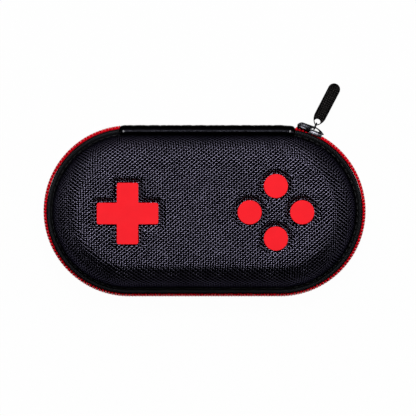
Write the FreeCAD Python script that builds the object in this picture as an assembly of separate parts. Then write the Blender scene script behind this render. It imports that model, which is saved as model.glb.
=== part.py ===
import FreeCAD, Part
import math
import os

from FreeCAD import Vector

# Hard-shell zip case for a game controller, closed and lying on its base.
# X runs along the case, +Y points at the cloth hinge, +Z up out of the lid.
# The origin is the middle of the flat underside. Sizes are in millimetres.

# Outline: two half circles joined by straight sides
end_centre_x = 37.5
rim_radius = 38.5
parting_height = 24.0

# Moulded shells
lid_height = 22.0
lid_shoulder_radius = 12.0
base_shoulder_radius = 9.0
wall_draft = 8.0
shell_wall = 2.2
rim_gap = 5.2

# Rubber patches on the lid and the dishes that they sit in
patch_thickness = 1.3
patch_round = 0.3
dish_depth = 0.9
dish_slope_width = 2.5
dish_overshoot = 0.4
patch_side_gap = 0.2
cross_centre_x = -38.1
cross_centre_y = -0.6
cross_length = 30.5
cross_arm_width = 10.7
cross_outer_corner = 1.1
cross_inner_corner = 0.5
button_group_x = 35.3
button_group_y = 0.0
button_spacing = 13.0
button_diameter = 12.0

# Zipper: cloth tape sewn inside each rim, with a row of teeth on its free edge
tape_thickness = 0.8
tape_seam_height = 4.4
tape_shoulder = 1.5
tape_outer_radius = 40.85
tape_edge_gap = 1.2
tooth_pitch = 1.64
tooth_width = 0.66
tooth_tip_width = 0.46
tooth_depth = 1.55
tooth_reach = 0.45
tooth_height = 3.2
tooth_seat_gap = 0.04
sewn_gap = 0.12

# Binding sewn over the raw edges inside both rims
binding_thickness = 1.0
binding_lip = 0.8
binding_round = 0.5

# Cloth hinge along the back
hinge_left_end = 41.5
hinge_right_end = 44.2
hinge_cover_radius = 42.6
hinge_cover_thickness = 1.3
hinge_cover_half_height = 9.0
hinge_cover_flat = 1.6
hinge_cover_end_wall = 1.0
hinge_end_gap = 0.3
lining_thickness = 0.8

# Mesh pocket in the lid and elastic strap in the base
pocket_height = 7.6
pocket_thickness = 0.6
pocket_hem_y = 12.0
hem_width = 8.0
hem_thickness = 1.6
hem_round = 0.5
strap_width = 24.0
strap_length = 52.0
strap_thickness = 1.2
strap_round = 0.4
strap_gap = 0.15
strap_patch_length = 7.0
strap_patch_thickness = 0.8
strap_patch_corner = 1.2

# Slider, parked beside the hinge's right end
slider_angle = 69.2
slider_length = 13.4
slider_nose_half_width = 4.3
slider_tail_half_width = 3.95
slider_corner = 1.4
outer_plate_thickness = 0.65
inner_plate_thickness = 1.1
inner_plate_half_width = 3.0
inner_plate_step = 0.6
chain_clearance = 0.3
flange_thickness = 0.8
flange_start = -0.8
flange_round = 0.25
neck_start = -5.4
neck_length = 2.5
neck_half_width = 0.75
neck_widest_share = 0.3
neck_nose_half_width = 0.26
neck_tail_half_width = 0.11
teeth_spread = 1.45
spread_start = -0.9
spread_length = 1.9
crown_half_length = 6.1
crown_half_width = 0.95
crown_opening = 1.05
crown_thickness = 0.6
crown_foot = 1.7
crown_overlap = 0.3

# Wire link and pull tab
link_place = 1.35
link_wire = 0.7
link_length = 3.1
link_half_height = 1.75
link_corner = 0.75
tab_direction = 62.7
tab_length = 22.0
tab_half_width = 3.05
tab_neck_half_width = 2.75
tab_neck_height = 2.6
tab_eye_end_radius = 1.08
tab_thickness = 1.9
tab_edge_round = 0.45
eye_clearance = 0.25
eye_wide_radius = 1.35
eye_wide_height = 1.55

parts_folder = "parts"
same_place = 0.001


def flat_point(radius, height):
    return Vector(0, radius, height)


def line(start, end):
    return Part.LineSegment(start, end).toShape()


def arc(start, middle, end):
    return Part.Arc(start, middle, end).toShape()


def rounded_wire(corners):
    # Closed wire through corners, each given as a point and its rounding radius
    starts = []
    middles = []
    ends = []
    for index, (point, radius) in enumerate(corners):
        before = (corners[index - 1][0] - point).normalize()
        after = (corners[(index + 1) % len(corners)][0] - point).normalize()
        half_angle = before.getAngle(after) / 2
        trim = radius / math.tan(half_angle)
        inward = (before + after).normalize()
        starts.append(point + before * trim)
        ends.append(point + after * trim)
        middles.append(point + inward * (radius / math.sin(half_angle) - radius))
    edges = []
    for index, (point, radius) in enumerate(corners):
        if radius > 0:
            edges.append(arc(starts[index], middles[index], ends[index]))
        following = (index + 1) % len(corners)
        if (starts[following] - ends[index]).Length > same_place:
            edges.append(line(ends[index], starts[following]))
    return Part.Wire(edges)


def profile(corners):
    return Part.Face(rounded_wire([(flat_point(r, z), rounding) for r, z, rounding in corners]))


def right_end(face, start, stop):
    # Sweep of a profile round the right end between two polar angles
    centre = Vector(end_centre_x, 0, 0)
    turned = face.translated(centre)
    turned.rotate(centre, Vector(0, 0, 1), start - 90)
    return turned.revolve(centre, Vector(0, 0, 1), stop - start)


def left_end(face, start, stop):
    centre = Vector(-end_centre_x, 0, 0)
    turned = face.translated(centre)
    turned.rotate(centre, Vector(0, 0, 1), start - 90)
    return turned.revolve(centre, Vector(0, 0, 1), stop - start)


def back_side(face):
    moved = face.translated(Vector(-end_centre_x, 0, 0))
    return moved.extrude(Vector(2 * end_centre_x, 0, 0))


def front_side(face):
    turned = back_side(face)
    turned.rotate(Vector(0, 0, 0), Vector(0, 0, 1), 180)
    return turned


def joined(pieces):
    whole = pieces[0].multiFuse(pieces[1:]).removeSplitter()
    return whole.Solids[0]


def all_round(face):
    return joined([right_end(face, 90, -90), front_side(face), left_end(face, 270, 90), back_side(face)])


def end_angle(distance, radius):
    # Polar angle at an end of the case where X is this far from the middle
    return math.degrees(math.acos((distance - end_centre_x) / radius))


def zipper_round(face, gap):
    # From one end of the hinge round the front to the other end
    margin = math.degrees(gap / hinge_cover_radius)
    right_start = end_angle(hinge_right_end, hinge_cover_radius) - margin
    left_stop = 180 - end_angle(hinge_left_end, hinge_cover_radius) + margin
    return joined([right_end(face, right_start, -90), front_side(face), left_end(face, 270, left_stop)])


def hinge_run(face, gap):
    margin = math.degrees(gap / hinge_cover_radius)
    right_stop = end_angle(hinge_right_end, hinge_cover_radius) + margin
    left_start = 180 - end_angle(hinge_left_end, hinge_cover_radius) - margin
    return joined([right_end(face, 90, right_stop), back_side(face), left_end(face, left_start, 90)])


def lifted(shape):
    return shape.translated(Vector(0, 0, parting_height))


def for_base(shape):
    return shape.mirror(Vector(0, 0, 0), Vector(0, 0, 1))


# Wall lines, measured from the parting plane

draft = math.radians(wall_draft)


def wall_outside(height):
    return rim_radius - (height - rim_gap) * math.tan(draft)


def wall_inside(height):
    return wall_outside(height) - shell_wall / math.cos(draft)


def shoulder_centre(height, shoulder_radius):
    # Centre of the arc that is tangent to the drafted wall and to the flat top
    centre_z = height - shoulder_radius
    return wall_outside(centre_z) - shoulder_radius / math.cos(draft), centre_z


def skin(height, shoulder_radius, inset):
    # Edges of one face of a shell's section, from the middle of the top to the rim
    centre_r, centre_z = shoulder_centre(height, shoulder_radius)
    bend = shoulder_radius - inset
    halfway = (math.pi / 2 + draft) / 2
    top = flat_point(0, height - inset)
    top_end = flat_point(centre_r, height - inset)
    middle = flat_point(centre_r + bend * math.cos(halfway), centre_z + bend * math.sin(halfway))
    wall_top = flat_point(centre_r + bend * math.cos(draft), centre_z + bend * math.sin(draft))
    rim = flat_point(rim_radius - inset / math.cos(draft), rim_gap)
    return top, rim, [line(top, top_end), arc(top_end, middle, wall_top), line(wall_top, rim)]


def shell(height, shoulder_radius):
    outer_top, outer_rim, outside = skin(height, shoulder_radius, 0)
    inner_top, inner_rim, inside = skin(height, shoulder_radius, shell_wall)
    edges = outside + inside + [line(outer_rim, inner_rim), line(inner_top, outer_top)]
    return all_round(Part.Face(Part.Wire(Part.__sortEdges__(edges))))


# Patches and the dishes pressed into the lid

dish_floor = lid_height - dish_depth
dish_rise = dish_depth + dish_overshoot
dish_run = dish_rise * dish_slope_width / dish_depth


def cross_wire(offset, height):
    half_length = cross_length / 2 + offset
    half_arm = cross_arm_width / 2 + offset
    outer = cross_outer_corner + offset
    inner = cross_inner_corner
    quarter = [(half_length, -half_arm, outer), (half_length, half_arm, outer), (half_arm, half_arm, inner)]
    corners = []
    for turn in range(4):
        angle = math.radians(90 * turn)
        for x, y, rounding in quarter:
            turned_x = x * math.cos(angle) - y * math.sin(angle)
            turned_y = x * math.sin(angle) + y * math.cos(angle)
            corners.append((Vector(cross_centre_x + turned_x, cross_centre_y + turned_y, height), rounding))
    return rounded_wire(corners)


def cross_dish():
    # The sloped side runs on past the lid's surface at the same slant
    low = cross_wire(patch_side_gap, dish_floor)
    high = cross_wire(patch_side_gap + dish_run, dish_floor + dish_rise)
    return Part.makeLoft([low, high], True, True)


def button_places():
    return {
        "button_patch_top": (button_group_x, button_group_y + button_spacing),
        "button_patch_right": (button_group_x + button_spacing, button_group_y),
        "button_patch_bottom": (button_group_x, button_group_y - button_spacing),
        "button_patch_left": (button_group_x - button_spacing, button_group_y),
    }


def button_dish(x, y):
    low_radius = button_diameter / 2 + patch_side_gap
    return Part.makeCone(low_radius, low_radius + dish_run, dish_rise, Vector(x, y, dish_floor))


def softened(patch):
    # Rounds the upper rim of a patch
    rim = [edge for edge in patch.Edges if edge.BoundBox.ZMin > dish_floor + patch_thickness / 2]
    return patch.makeFillet(patch_round, rim)


def make_patches():
    cross = Part.Face(cross_wire(0, dish_floor)).extrude(Vector(0, 0, patch_thickness))
    patches = {"dpad_patch": softened(cross)}
    for name, (x, y) in button_places().items():
        disc = Part.makeCylinder(button_diameter / 2, patch_thickness, Vector(x, y, dish_floor))
        patches[name] = softened(disc)
    return patches


def make_lid_shell():
    lid = shell(lid_height, lid_shoulder_radius)
    dishes = [cross_dish()] + [button_dish(x, y) for x, y in button_places().values()]
    return lid.cut(dishes).Solids[0]


def make_base_shell():
    return for_base(shell(parting_height, base_shoulder_radius))


# Zipper tape: up the inside of the wall, out under the rim, down to the teeth

def tape_profile():
    seam_top = rim_gap + tape_seam_height
    shelf = rim_gap - sewn_gap
    lower = shelf - tape_thickness
    seat_top = wall_inside(seam_top) - sewn_gap
    seat_low = wall_inside(shelf) - sewn_gap
    inner_radius = tape_outer_radius - tape_thickness
    return profile([
        (seat_top, seam_top, 0),
        (seat_low, shelf, 0),
        (tape_outer_radius, shelf, tape_shoulder),
        (tape_outer_radius, tape_edge_gap, 0),
        (inner_radius, tape_edge_gap, 0),
        (inner_radius, lower, tape_shoulder - tape_thickness),
        (seat_low - tape_thickness, lower, 0),
        (seat_top - tape_thickness, seam_top, 0),
    ])


def make_tape():
    return zipper_round(tape_profile(), hinge_end_gap)


def binding_profile():
    seam_top = rim_gap + tape_seam_height
    low = rim_gap - sewn_gap
    high = seam_top + sewn_gap + binding_lip
    layers = 2 * sewn_gap + tape_thickness
    inner_low = wall_inside(low) - layers - binding_thickness
    inner_high = wall_inside(high) - layers - binding_thickness
    return profile([
        (inner_low, low, 0),
        (wall_inside(low) - layers, low, 0),
        (wall_inside(seam_top + sewn_gap) - layers, seam_top + sewn_gap, 0),
        (wall_inside(seam_top + sewn_gap) - sewn_gap, seam_top + sewn_gap, 0),
        (wall_inside(high) - sewn_gap, high, 0),
        (inner_high, high, binding_round),
    ])


# Teeth: bars across each tape edge, the two rows set half a pitch apart

def chain_point(distance, radius):
    # Place and outward direction along the closed zipper, from the hinge's right end
    start = math.radians(end_angle(hinge_right_end, hinge_cover_radius))
    first = (start + math.pi / 2) * radius
    straight = 2 * end_centre_x
    if distance < first:
        angle = start - distance / radius
        centre_x = end_centre_x
    elif distance < first + straight:
        x = end_centre_x - (distance - first)
        return Vector(x, -radius, 0), -90.0
    else:
        angle = -math.pi / 2 - (distance - first - straight) / radius
        centre_x = -end_centre_x
    spot = Vector(centre_x + radius * math.cos(angle), radius * math.sin(angle), 0)
    return spot, math.degrees(angle)


def chain_length(radius):
    right = math.radians(end_angle(hinge_right_end, hinge_cover_radius) + 90)
    left = math.radians(end_angle(hinge_left_end, hinge_cover_radius) + 90)
    return (right + left) * radius + 2 * end_centre_x


def spread_at(along_slider):
    # How far the slider's neck holds each row of teeth from the middle
    share = (spread_start - along_slider) / spread_length
    return teeth_spread * min(max(share, 0), 1)


def tooth():
    inner = tape_outer_radius + tooth_seat_gap
    corners = [
        Vector(inner, -tooth_width / 2, 0),
        Vector(inner + tooth_depth, -tooth_tip_width / 2, 0),
        Vector(inner + tooth_depth, tooth_tip_width / 2, 0),
        Vector(inner, tooth_width / 2, 0),
    ]
    outline = Part.makePolygon(corners + corners[:1])
    bar = Part.Face(outline).extrude(Vector(0, 0, tooth_height))
    return bar.translated(Vector(-tape_outer_radius, 0, -tooth_reach))


def make_teeth(shift, side):
    # One row: side is 1 for the lid and -1 for the base
    length = chain_length(tape_outer_radius)
    count = int((length - 2 * hinge_end_gap) / tooth_pitch)
    first = (length - (count - 1) * tooth_pitch) / 2
    pattern = tooth()
    if side < 0:
        pattern = for_base(pattern)
    slider_centre = math.radians(slider_angle)
    row = []
    for index in range(count):
        distance = first + index * tooth_pitch + shift
        if distance > length - hinge_end_gap - tooth_width / 2:
            continue
        spot, direction = chain_point(distance, tape_outer_radius)
        bar = pattern.copy()
        bar.rotate(Vector(0, 0, 0), Vector(0, 0, 1), direction)
        along = (slider_centre - math.radians(direction)) * tape_outer_radius
        lift = side * spread_at(along)
        row.append(bar.translated(Vector(spot.x, spot.y, lift)))
    return Part.makeCompound(row)


# Cloth hinge along the back, rolled over the joint outside and flat inside

def cover_profile(inset):
    outer = hinge_cover_radius - inset
    top = hinge_cover_half_height - inset
    foot = rim_radius + sewn_gap
    round_top = flat_point(foot, top)
    round_low = flat_point(outer, hinge_cover_flat)
    turn = math.radians(45)
    middle = flat_point(
        foot + (outer - foot) * math.cos(turn),
        hinge_cover_flat + (top - hinge_cover_flat) * math.sin(turn),
    )
    return round_top, middle, round_low


def mirrored(point):
    return flat_point(point.y, -point.z)


def cover_face():
    outer_top, outer_middle, outer_low = cover_profile(0)
    inner_top, inner_middle, inner_low = cover_profile(hinge_cover_thickness)
    hem = wall_outside(hinge_cover_half_height) + sewn_gap
    hem_top = flat_point(hem, outer_top.z)
    hem_low = flat_point(wall_outside(inner_top.z) + sewn_gap, inner_top.z)
    edges = [
        line(hem_top, outer_top),
        arc(outer_top, outer_middle, outer_low),
        line(outer_low, mirrored(outer_low)),
        arc(mirrored(outer_low), mirrored(outer_middle), mirrored(outer_top)),
        line(mirrored(outer_top), mirrored(hem_top)),
        line(mirrored(hem_top), mirrored(hem_low)),
        line(mirrored(hem_low), mirrored(inner_top)),
        arc(mirrored(inner_top), mirrored(inner_middle), mirrored(inner_low)),
        line(mirrored(inner_low), inner_low),
        arc(inner_low, inner_middle, inner_top),
        line(inner_top, hem_low),
        line(hem_low, hem_top),
    ]
    return Part.Face(Part.Wire(edges))


def cover_end_face():
    outer_top, outer_middle, outer_low = cover_profile(0)
    edges = [
        arc(outer_top, outer_middle, outer_low),
        line(outer_low, mirrored(outer_low)),
        arc(mirrored(outer_low), mirrored(outer_middle), mirrored(outer_top)),
        line(mirrored(outer_top), outer_top),
    ]
    return Part.Face(Part.Wire(edges))


def make_hinge_cover():
    wall = math.degrees(hinge_cover_end_wall / hinge_cover_radius)
    right_stop = end_angle(hinge_right_end, hinge_cover_radius)
    left_start = 180 - end_angle(hinge_left_end, hinge_cover_radius)
    pieces = [
        hinge_run(cover_face(), 0),
        right_end(cover_end_face(), right_stop + wall, right_stop),
        left_end(cover_end_face(), left_start, left_start - wall),
    ]
    return joined(pieces)


def make_hinge_lining():
    top = rim_gap + tape_seam_height
    seat_top = wall_inside(top) - sewn_gap
    seat_low = wall_inside(rim_gap) - sewn_gap
    back = seat_low - lining_thickness
    face = profile([
        (seat_top, top, 0),
        (seat_low, rim_gap, 0),
        (seat_low, -rim_gap, 0),
        (seat_top, -top, 0),
        (seat_top - lining_thickness, -top, 0),
        (back, -rim_gap, 0),
        (back, rim_gap, 0),
        (seat_top - lining_thickness, top, 0),
    ])
    return hinge_run(face, hinge_end_gap)


# Inside: mesh pocket with an elastic hem in the lid, elastic strap in the base

def inner_room(height):
    # Radius left free inside the binding
    layers = 3 * sewn_gap + tape_thickness + binding_thickness
    return wall_inside(height) - layers


def make_pocket():
    reach = inner_room(rim_gap + tape_seam_height + binding_lip) - sewn_gap
    half = pocket_thickness / 2
    disc = all_round(profile([
        (0, pocket_height - half, 0),
        (reach, pocket_height - half, 0),
        (reach, pocket_height + half, 0),
        (0, pocket_height + half, 0),
    ]))
    span = 2 * (end_centre_x + reach)
    behind = Part.makeBox(span, span, span, Vector(-span / 2, pocket_hem_y, -span / 2))
    return disc.cut(behind).Solids[0]


def make_hem():
    reach = inner_room(rim_gap + tape_seam_height + binding_lip) - sewn_gap
    far = pocket_hem_y + hem_width
    half_span = end_centre_x + math.sqrt(reach ** 2 - far ** 2)
    strip = Part.makeBox(
        2 * half_span,
        hem_width - sewn_gap,
        hem_thickness,
        Vector(-half_span, pocket_hem_y + sewn_gap, pocket_height - hem_thickness / 2),
    )
    long_edges = [edge for edge in strip.Edges if edge.Length > half_span]
    return strip.makeFillet(hem_round, long_edges)


def make_strap():
    floor = shell_wall + strap_gap
    band = Part.makeBox(
        strap_width, strap_length, strap_thickness, Vector(-strap_width / 2, -strap_length / 2, floor)
    )
    sides = [edge for edge in band.Edges if edge.BoundBox.YLength > strap_length / 2]
    return band.makeFillet(strap_round, sides)


def make_strap_patch(side):
    floor = shell_wall + strap_gap + strap_thickness
    start = strap_length / 2 - strap_patch_length
    if side < 0:
        start = -strap_length / 2
    patch = Part.makeBox(
        strap_width, strap_patch_length, strap_patch_thickness, Vector(-strap_width / 2, start, floor)
    )
    upright = [edge for edge in patch.Edges if edge.BoundBox.ZLength > strap_patch_thickness / 2]
    return patch.makeFillet(strap_patch_corner, upright)


# Slider. It is drawn over the end circle's top and turned to its place:
# X runs along the zipper away from the hinge, Y outwards from the circle's centre.

tooth_outer_radius = tape_outer_radius + tooth_seat_gap + tooth_depth
outer_plate_low = tooth_outer_radius + chain_clearance
outer_plate_top = outer_plate_low + outer_plate_thickness


def at_slider(shape):
    turned = shape.copy()
    turned.rotate(Vector(0, 0, 0), Vector(0, 0, 1), slider_angle - 90)
    return turned.translated(Vector(end_centre_x, 0, parting_height))


def plate_outline(nose, tail, nose_half, tail_half, height):
    return rounded_wire([
        (Vector(nose, height, -nose_half), slider_corner),
        (Vector(tail, height, -tail_half), slider_corner),
        (Vector(tail, height, tail_half), slider_corner),
        (Vector(nose, height, nose_half), slider_corner),
    ])


def make_slider():
    half = slider_length / 2
    plate = Part.Face(plate_outline(-half, half, slider_nose_half_width, slider_tail_half_width, outer_plate_low))
    body = [plate.extrude(Vector(0, outer_plate_thickness, 0))]

    # Flanges that fold in over both edges of the teeth
    flange_low = tape_outer_radius + chain_clearance
    flange_inner = slider_tail_half_width - flange_thickness
    flange_length = half - slider_corner / 2 - flange_start
    for side in (-1, 1):
        low_z = flange_inner if side > 0 else -slider_tail_half_width
        flange = Part.makeBox(
            flange_length,
            outer_plate_top - flange_low,
            flange_thickness,
            Vector(flange_start, flange_low, low_z),
        )
        lengthwise = [edge for edge in flange.Edges if edge.BoundBox.XLength > flange_length / 2]
        low_edges = [edge for edge in lengthwise if edge.BoundBox.YMax < flange_low + same_place]
        body.append(flange.makeFillet(flange_round, low_edges))

    # Plate behind the teeth, clear of the inside of the tape at both of its ends
    tape_inner_radius = tape_outer_radius - tape_thickness
    inner_half = half - inner_plate_step
    inner_top = math.sqrt((tape_inner_radius - chain_clearance) ** 2 - inner_half ** 2)
    inner_low = inner_top - inner_plate_thickness
    inner_plate = Part.Face(
        plate_outline(-inner_half, inner_half, inner_plate_half_width, inner_plate_half_width, inner_low)
    )
    body.append(inner_plate.extrude(Vector(0, inner_plate_thickness, 0)))

    # Wedge-shaped neck between the two plates
    neck_end = neck_start + neck_length
    neck_widest = neck_start + neck_widest_share * neck_length
    neck_side = [
        Vector(neck_start, inner_low, neck_nose_half_width),
        Vector(neck_widest, inner_low, neck_half_width),
        Vector(neck_end, inner_low, neck_tail_half_width),
    ]
    other_side = [Vector(corner.x, corner.y, -corner.z) for corner in reversed(neck_side)]
    neck_wire = Part.makePolygon(neck_side + other_side + neck_side[:1])
    body.append(Part.Face(neck_wire).extrude(Vector(0, outer_plate_top - inner_low, 0)))

    # Crown: an arch along the plate that holds the link
    crown_inside = outer_plate_top + crown_opening
    crown_outside = crown_inside + crown_thickness
    buried = outer_plate_top - crown_overlap
    inner_half_length = crown_half_length - crown_foot
    outer_arc = arc(
        Vector(-crown_half_length, buried, 0),
        Vector(0, crown_outside, 0),
        Vector(crown_half_length, buried, 0),
    )
    inner_arc = arc(
        Vector(inner_half_length, buried, 0),
        Vector(0, crown_inside, 0),
        Vector(-inner_half_length, buried, 0),
    )
    crown = Part.Face(Part.Wire([
        outer_arc,
        line(Vector(crown_half_length, buried, 0), Vector(inner_half_length, buried, 0)),
        inner_arc,
        line(Vector(-inner_half_length, buried, 0), Vector(-crown_half_length, buried, 0)),
    ]))
    arch = crown.translated(Vector(0, 0, -crown_half_width)).extrude(Vector(0, 0, 2 * crown_half_width))
    body.append(arch)
    return joined(body)


# Link and tab stand on the crown, and both turn about upright axes

link_pivot_radius = outer_plate_top + crown_opening / 2
link_angle = slider_angle - math.degrees(link_place / link_pivot_radius)


def polar(radius, angle):
    turn = math.radians(angle)
    return Vector(end_centre_x + radius * math.cos(turn), radius * math.sin(turn), parting_height)


def make_link():
    far = link_length
    high = link_half_height
    path = rounded_wire([
        (Vector(0, 0, -high), link_corner),
        (Vector(far, 0, -high), link_corner),
        (Vector(far, 0, high), link_corner),
        (Vector(0, 0, high), link_corner),
    ])
    start = path.Edges[0].Vertexes[0].Point
    tangent = path.Edges[0].tangentAt(path.Edges[0].FirstParameter)
    section = Part.Wire(Part.makeCircle(link_wire / 2, start, tangent))
    ring = path.makePipeShell([section], True, False)
    ring.rotate(Vector(0, 0, 0), Vector(0, 0, 1), link_angle)
    return ring.translated(polar(link_pivot_radius, link_angle))


def tapered_slot(low_radius, high_radius, spacing, height):
    # Outline of two circles with their outer tangents, from the origin along X
    slant = math.asin((high_radius - low_radius) / spacing)
    cosine = math.cos(slant)
    sine = math.sin(slant)
    low_side = Vector(-low_radius * sine, low_radius * cosine, height)
    high_side = Vector(spacing - high_radius * sine, high_radius * cosine, height)
    low_other = Vector(low_side.x, -low_side.y, height)
    high_other = Vector(high_side.x, -high_side.y, height)
    return Part.Wire([
        arc(low_other, Vector(-low_radius, 0, height), low_side),
        line(low_side, high_side),
        arc(high_side, Vector(spacing + high_radius, 0, height), high_other),
        line(high_other, low_other),
    ])


def make_tab():
    low = -tab_thickness / 2
    end = tab_length - tab_half_width
    neck = tab_neck_height
    slant = math.atan2(tab_neck_half_width - tab_eye_end_radius, neck)
    foot = Vector(-tab_eye_end_radius * math.sin(slant), tab_eye_end_radius * math.cos(slant), low)
    foot_other = Vector(foot.x, -foot.y, low)
    outline = Part.Wire([
        arc(foot_other, Vector(-tab_eye_end_radius, 0, low), foot),
        line(foot, Vector(neck, tab_neck_half_width, low)),
        line(Vector(neck, tab_neck_half_width, low), Vector(end, tab_half_width, low)),
        arc(Vector(end, tab_half_width, low), Vector(tab_length, 0, low), Vector(end, -tab_half_width, low)),
        line(Vector(end, -tab_half_width, low), Vector(neck, -tab_neck_half_width, low)),
        line(Vector(neck, -tab_neck_half_width, low), foot_other),
    ])
    tab = Part.Face(outline).extrude(Vector(0, 0, tab_thickness))
    outer_rim = [edge for edge in tab.Edges if edge.BoundBox.ZLength < same_place]
    tab = tab.makeFillet(tab_edge_round, outer_rim)
    eye_radius = link_wire / 2 + eye_clearance
    eye = Part.Face(tapered_slot(eye_radius, eye_wide_radius, eye_wide_height, 2 * low))
    tab = tab.cut(eye.extrude(Vector(0, 0, 2 * tab_thickness))).Solids[0]
    pivot = polar(link_pivot_radius + link_length, link_angle)
    tab.rotate(Vector(0, 0, 0), Vector(0, 0, 1), tab_direction)
    return tab.translated(pivot)


def make_parts():
    parts = {
        "lid_shell": lifted(make_lid_shell()),
        "base_shell": lifted(make_base_shell()),
    }
    for name, patch in make_patches().items():
        parts[name] = lifted(patch)
    tape = make_tape()
    binding = all_round(binding_profile())
    parts["lid_zip_tape"] = lifted(tape)
    parts["base_zip_tape"] = lifted(for_base(tape))
    parts["lid_zip_teeth"] = lifted(make_teeth(0, 1))
    parts["base_zip_teeth"] = lifted(make_teeth(tooth_pitch / 2, -1))
    parts["lid_inner_binding"] = lifted(binding)
    parts["base_inner_binding"] = lifted(for_base(binding))
    parts["hinge_cover"] = lifted(make_hinge_cover())
    parts["hinge_lining"] = lifted(make_hinge_lining())
    parts["mesh_pocket"] = lifted(make_pocket())
    parts["mesh_pocket_hem"] = lifted(make_hem())
    parts["hold_down_strap"] = make_strap()
    parts["strap_patch_back"] = make_strap_patch(1)
    parts["strap_patch_front"] = make_strap_patch(-1)
    parts["zip_slider"] = at_slider(make_slider())
    parts["pull_link"] = make_link()
    parts["pull_tab"] = make_tab()
    return parts


os.makedirs(parts_folder, exist_ok=True)
for name, shape in make_parts().items():
    shape.exportStep(os.path.join(parts_folder, name + ".step"))
    print(name, len(shape.Solids), round(shape.Volume, 2), shape.isValid())
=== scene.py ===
import math

import bmesh
import bpy
import numpy as np
from mathutils import Matrix, Vector


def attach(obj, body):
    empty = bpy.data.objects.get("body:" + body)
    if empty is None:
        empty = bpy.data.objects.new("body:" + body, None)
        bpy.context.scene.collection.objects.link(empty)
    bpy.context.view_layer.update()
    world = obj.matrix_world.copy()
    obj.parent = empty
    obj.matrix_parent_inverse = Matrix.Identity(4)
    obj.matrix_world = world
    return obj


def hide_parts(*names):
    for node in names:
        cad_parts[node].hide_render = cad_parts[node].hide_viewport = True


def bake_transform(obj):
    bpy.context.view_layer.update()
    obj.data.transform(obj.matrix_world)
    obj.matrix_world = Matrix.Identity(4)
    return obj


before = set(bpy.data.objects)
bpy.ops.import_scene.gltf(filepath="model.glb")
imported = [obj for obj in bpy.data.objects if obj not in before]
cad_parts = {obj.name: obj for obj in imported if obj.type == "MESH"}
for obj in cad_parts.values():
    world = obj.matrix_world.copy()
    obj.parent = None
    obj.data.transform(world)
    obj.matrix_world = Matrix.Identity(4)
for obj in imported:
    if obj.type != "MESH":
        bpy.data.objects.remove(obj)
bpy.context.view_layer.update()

mm = 0.001
clothMap = "clothPlace"  # UV map in millimetres along the cloth

# Main sizes in millimetres, the same as the solids. Heights count from the parting plane.
case = {
    "endCentre": 37.5,
    "rimRadius": 38.5,
    "parting": 24.0,
    "draft": math.radians(8),
    "wall": 2.2,
    "rimGap": 5.2,
    "hingeLeft": 41.5,
    "hingeRight": 44.2,
    "hingeRadius": 42.6,
    "tapeRadius": 40.85,
    "sliderAngle": 69.2,
    "zipOverrun": 1.5,  # degrees past the hinge's ends
}


def report(stage):
    print("scene:", stage)


# Shader helpers

def addNode(tree, kind, inputs=None, **settings):
    node = tree.nodes.new(kind)
    for key, value in settings.items():
        setattr(node, key, value)
    for pin, value in (inputs or {}).items():
        if isinstance(value, bpy.types.NodeSocket):
            tree.links.new(value, node.inputs[pin])
        else:
            node.inputs[pin].default_value = value
    return node


def maths(tree, operation, *values):
    return addNode(tree, "ShaderNodeMath", dict(enumerate(values)), operation=operation).outputs[0]


def remap(tree, value, low, high, toLow=0.0, toHigh=1.0):
    inputs = {"Value": value, "From Min": low, "From Max": high, "To Min": toLow, "To Max": toHigh}
    return addNode(tree, "ShaderNodeMapRange", inputs, interpolation_type="SMOOTHSTEP").outputs[0]


def blendColour(tree, share, first, second):
    inputs = {0: share, 6: (*first, 1), 7: (*second, 1)}
    return addNode(tree, "ShaderNodeMix", inputs, data_type="RGBA").outputs[2]


def splitAxes(tree, place):
    return addNode(tree, "ShaderNodeSeparateXYZ", {0: place}).outputs


def objectPlace(tree):
    return addNode(tree, "ShaderNodeTexCoord").outputs["Object"]


def newGroup(name, inputs, outputs):
    # An input without a value of its own is a place on the cloth
    tree = bpy.data.node_groups.new(name, "ShaderNodeTree")
    for label, value in inputs.items():
        kind = "NodeSocketVector" if value is None else "NodeSocketFloat"
        socket = tree.interface.new_socket(label, in_out="INPUT", socket_type=kind)
        if value is not None:
            socket.default_value = value
    for label in outputs:
        tree.interface.new_socket(label, in_out="OUTPUT", socket_type="NodeSocketFloat")
    return tree, tree.nodes.new("NodeGroupInput").outputs, tree.nodes.new("NodeGroupOutput")


weaveForm = {
    "join": 0.12,  # how softly two crossing yarns meet
    "yarnFrom": 0.755,  # share of the full height where a yarn takes its colour
    "strandTurns": 5.0,
    "strandSlant": 0.9,
}


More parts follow.
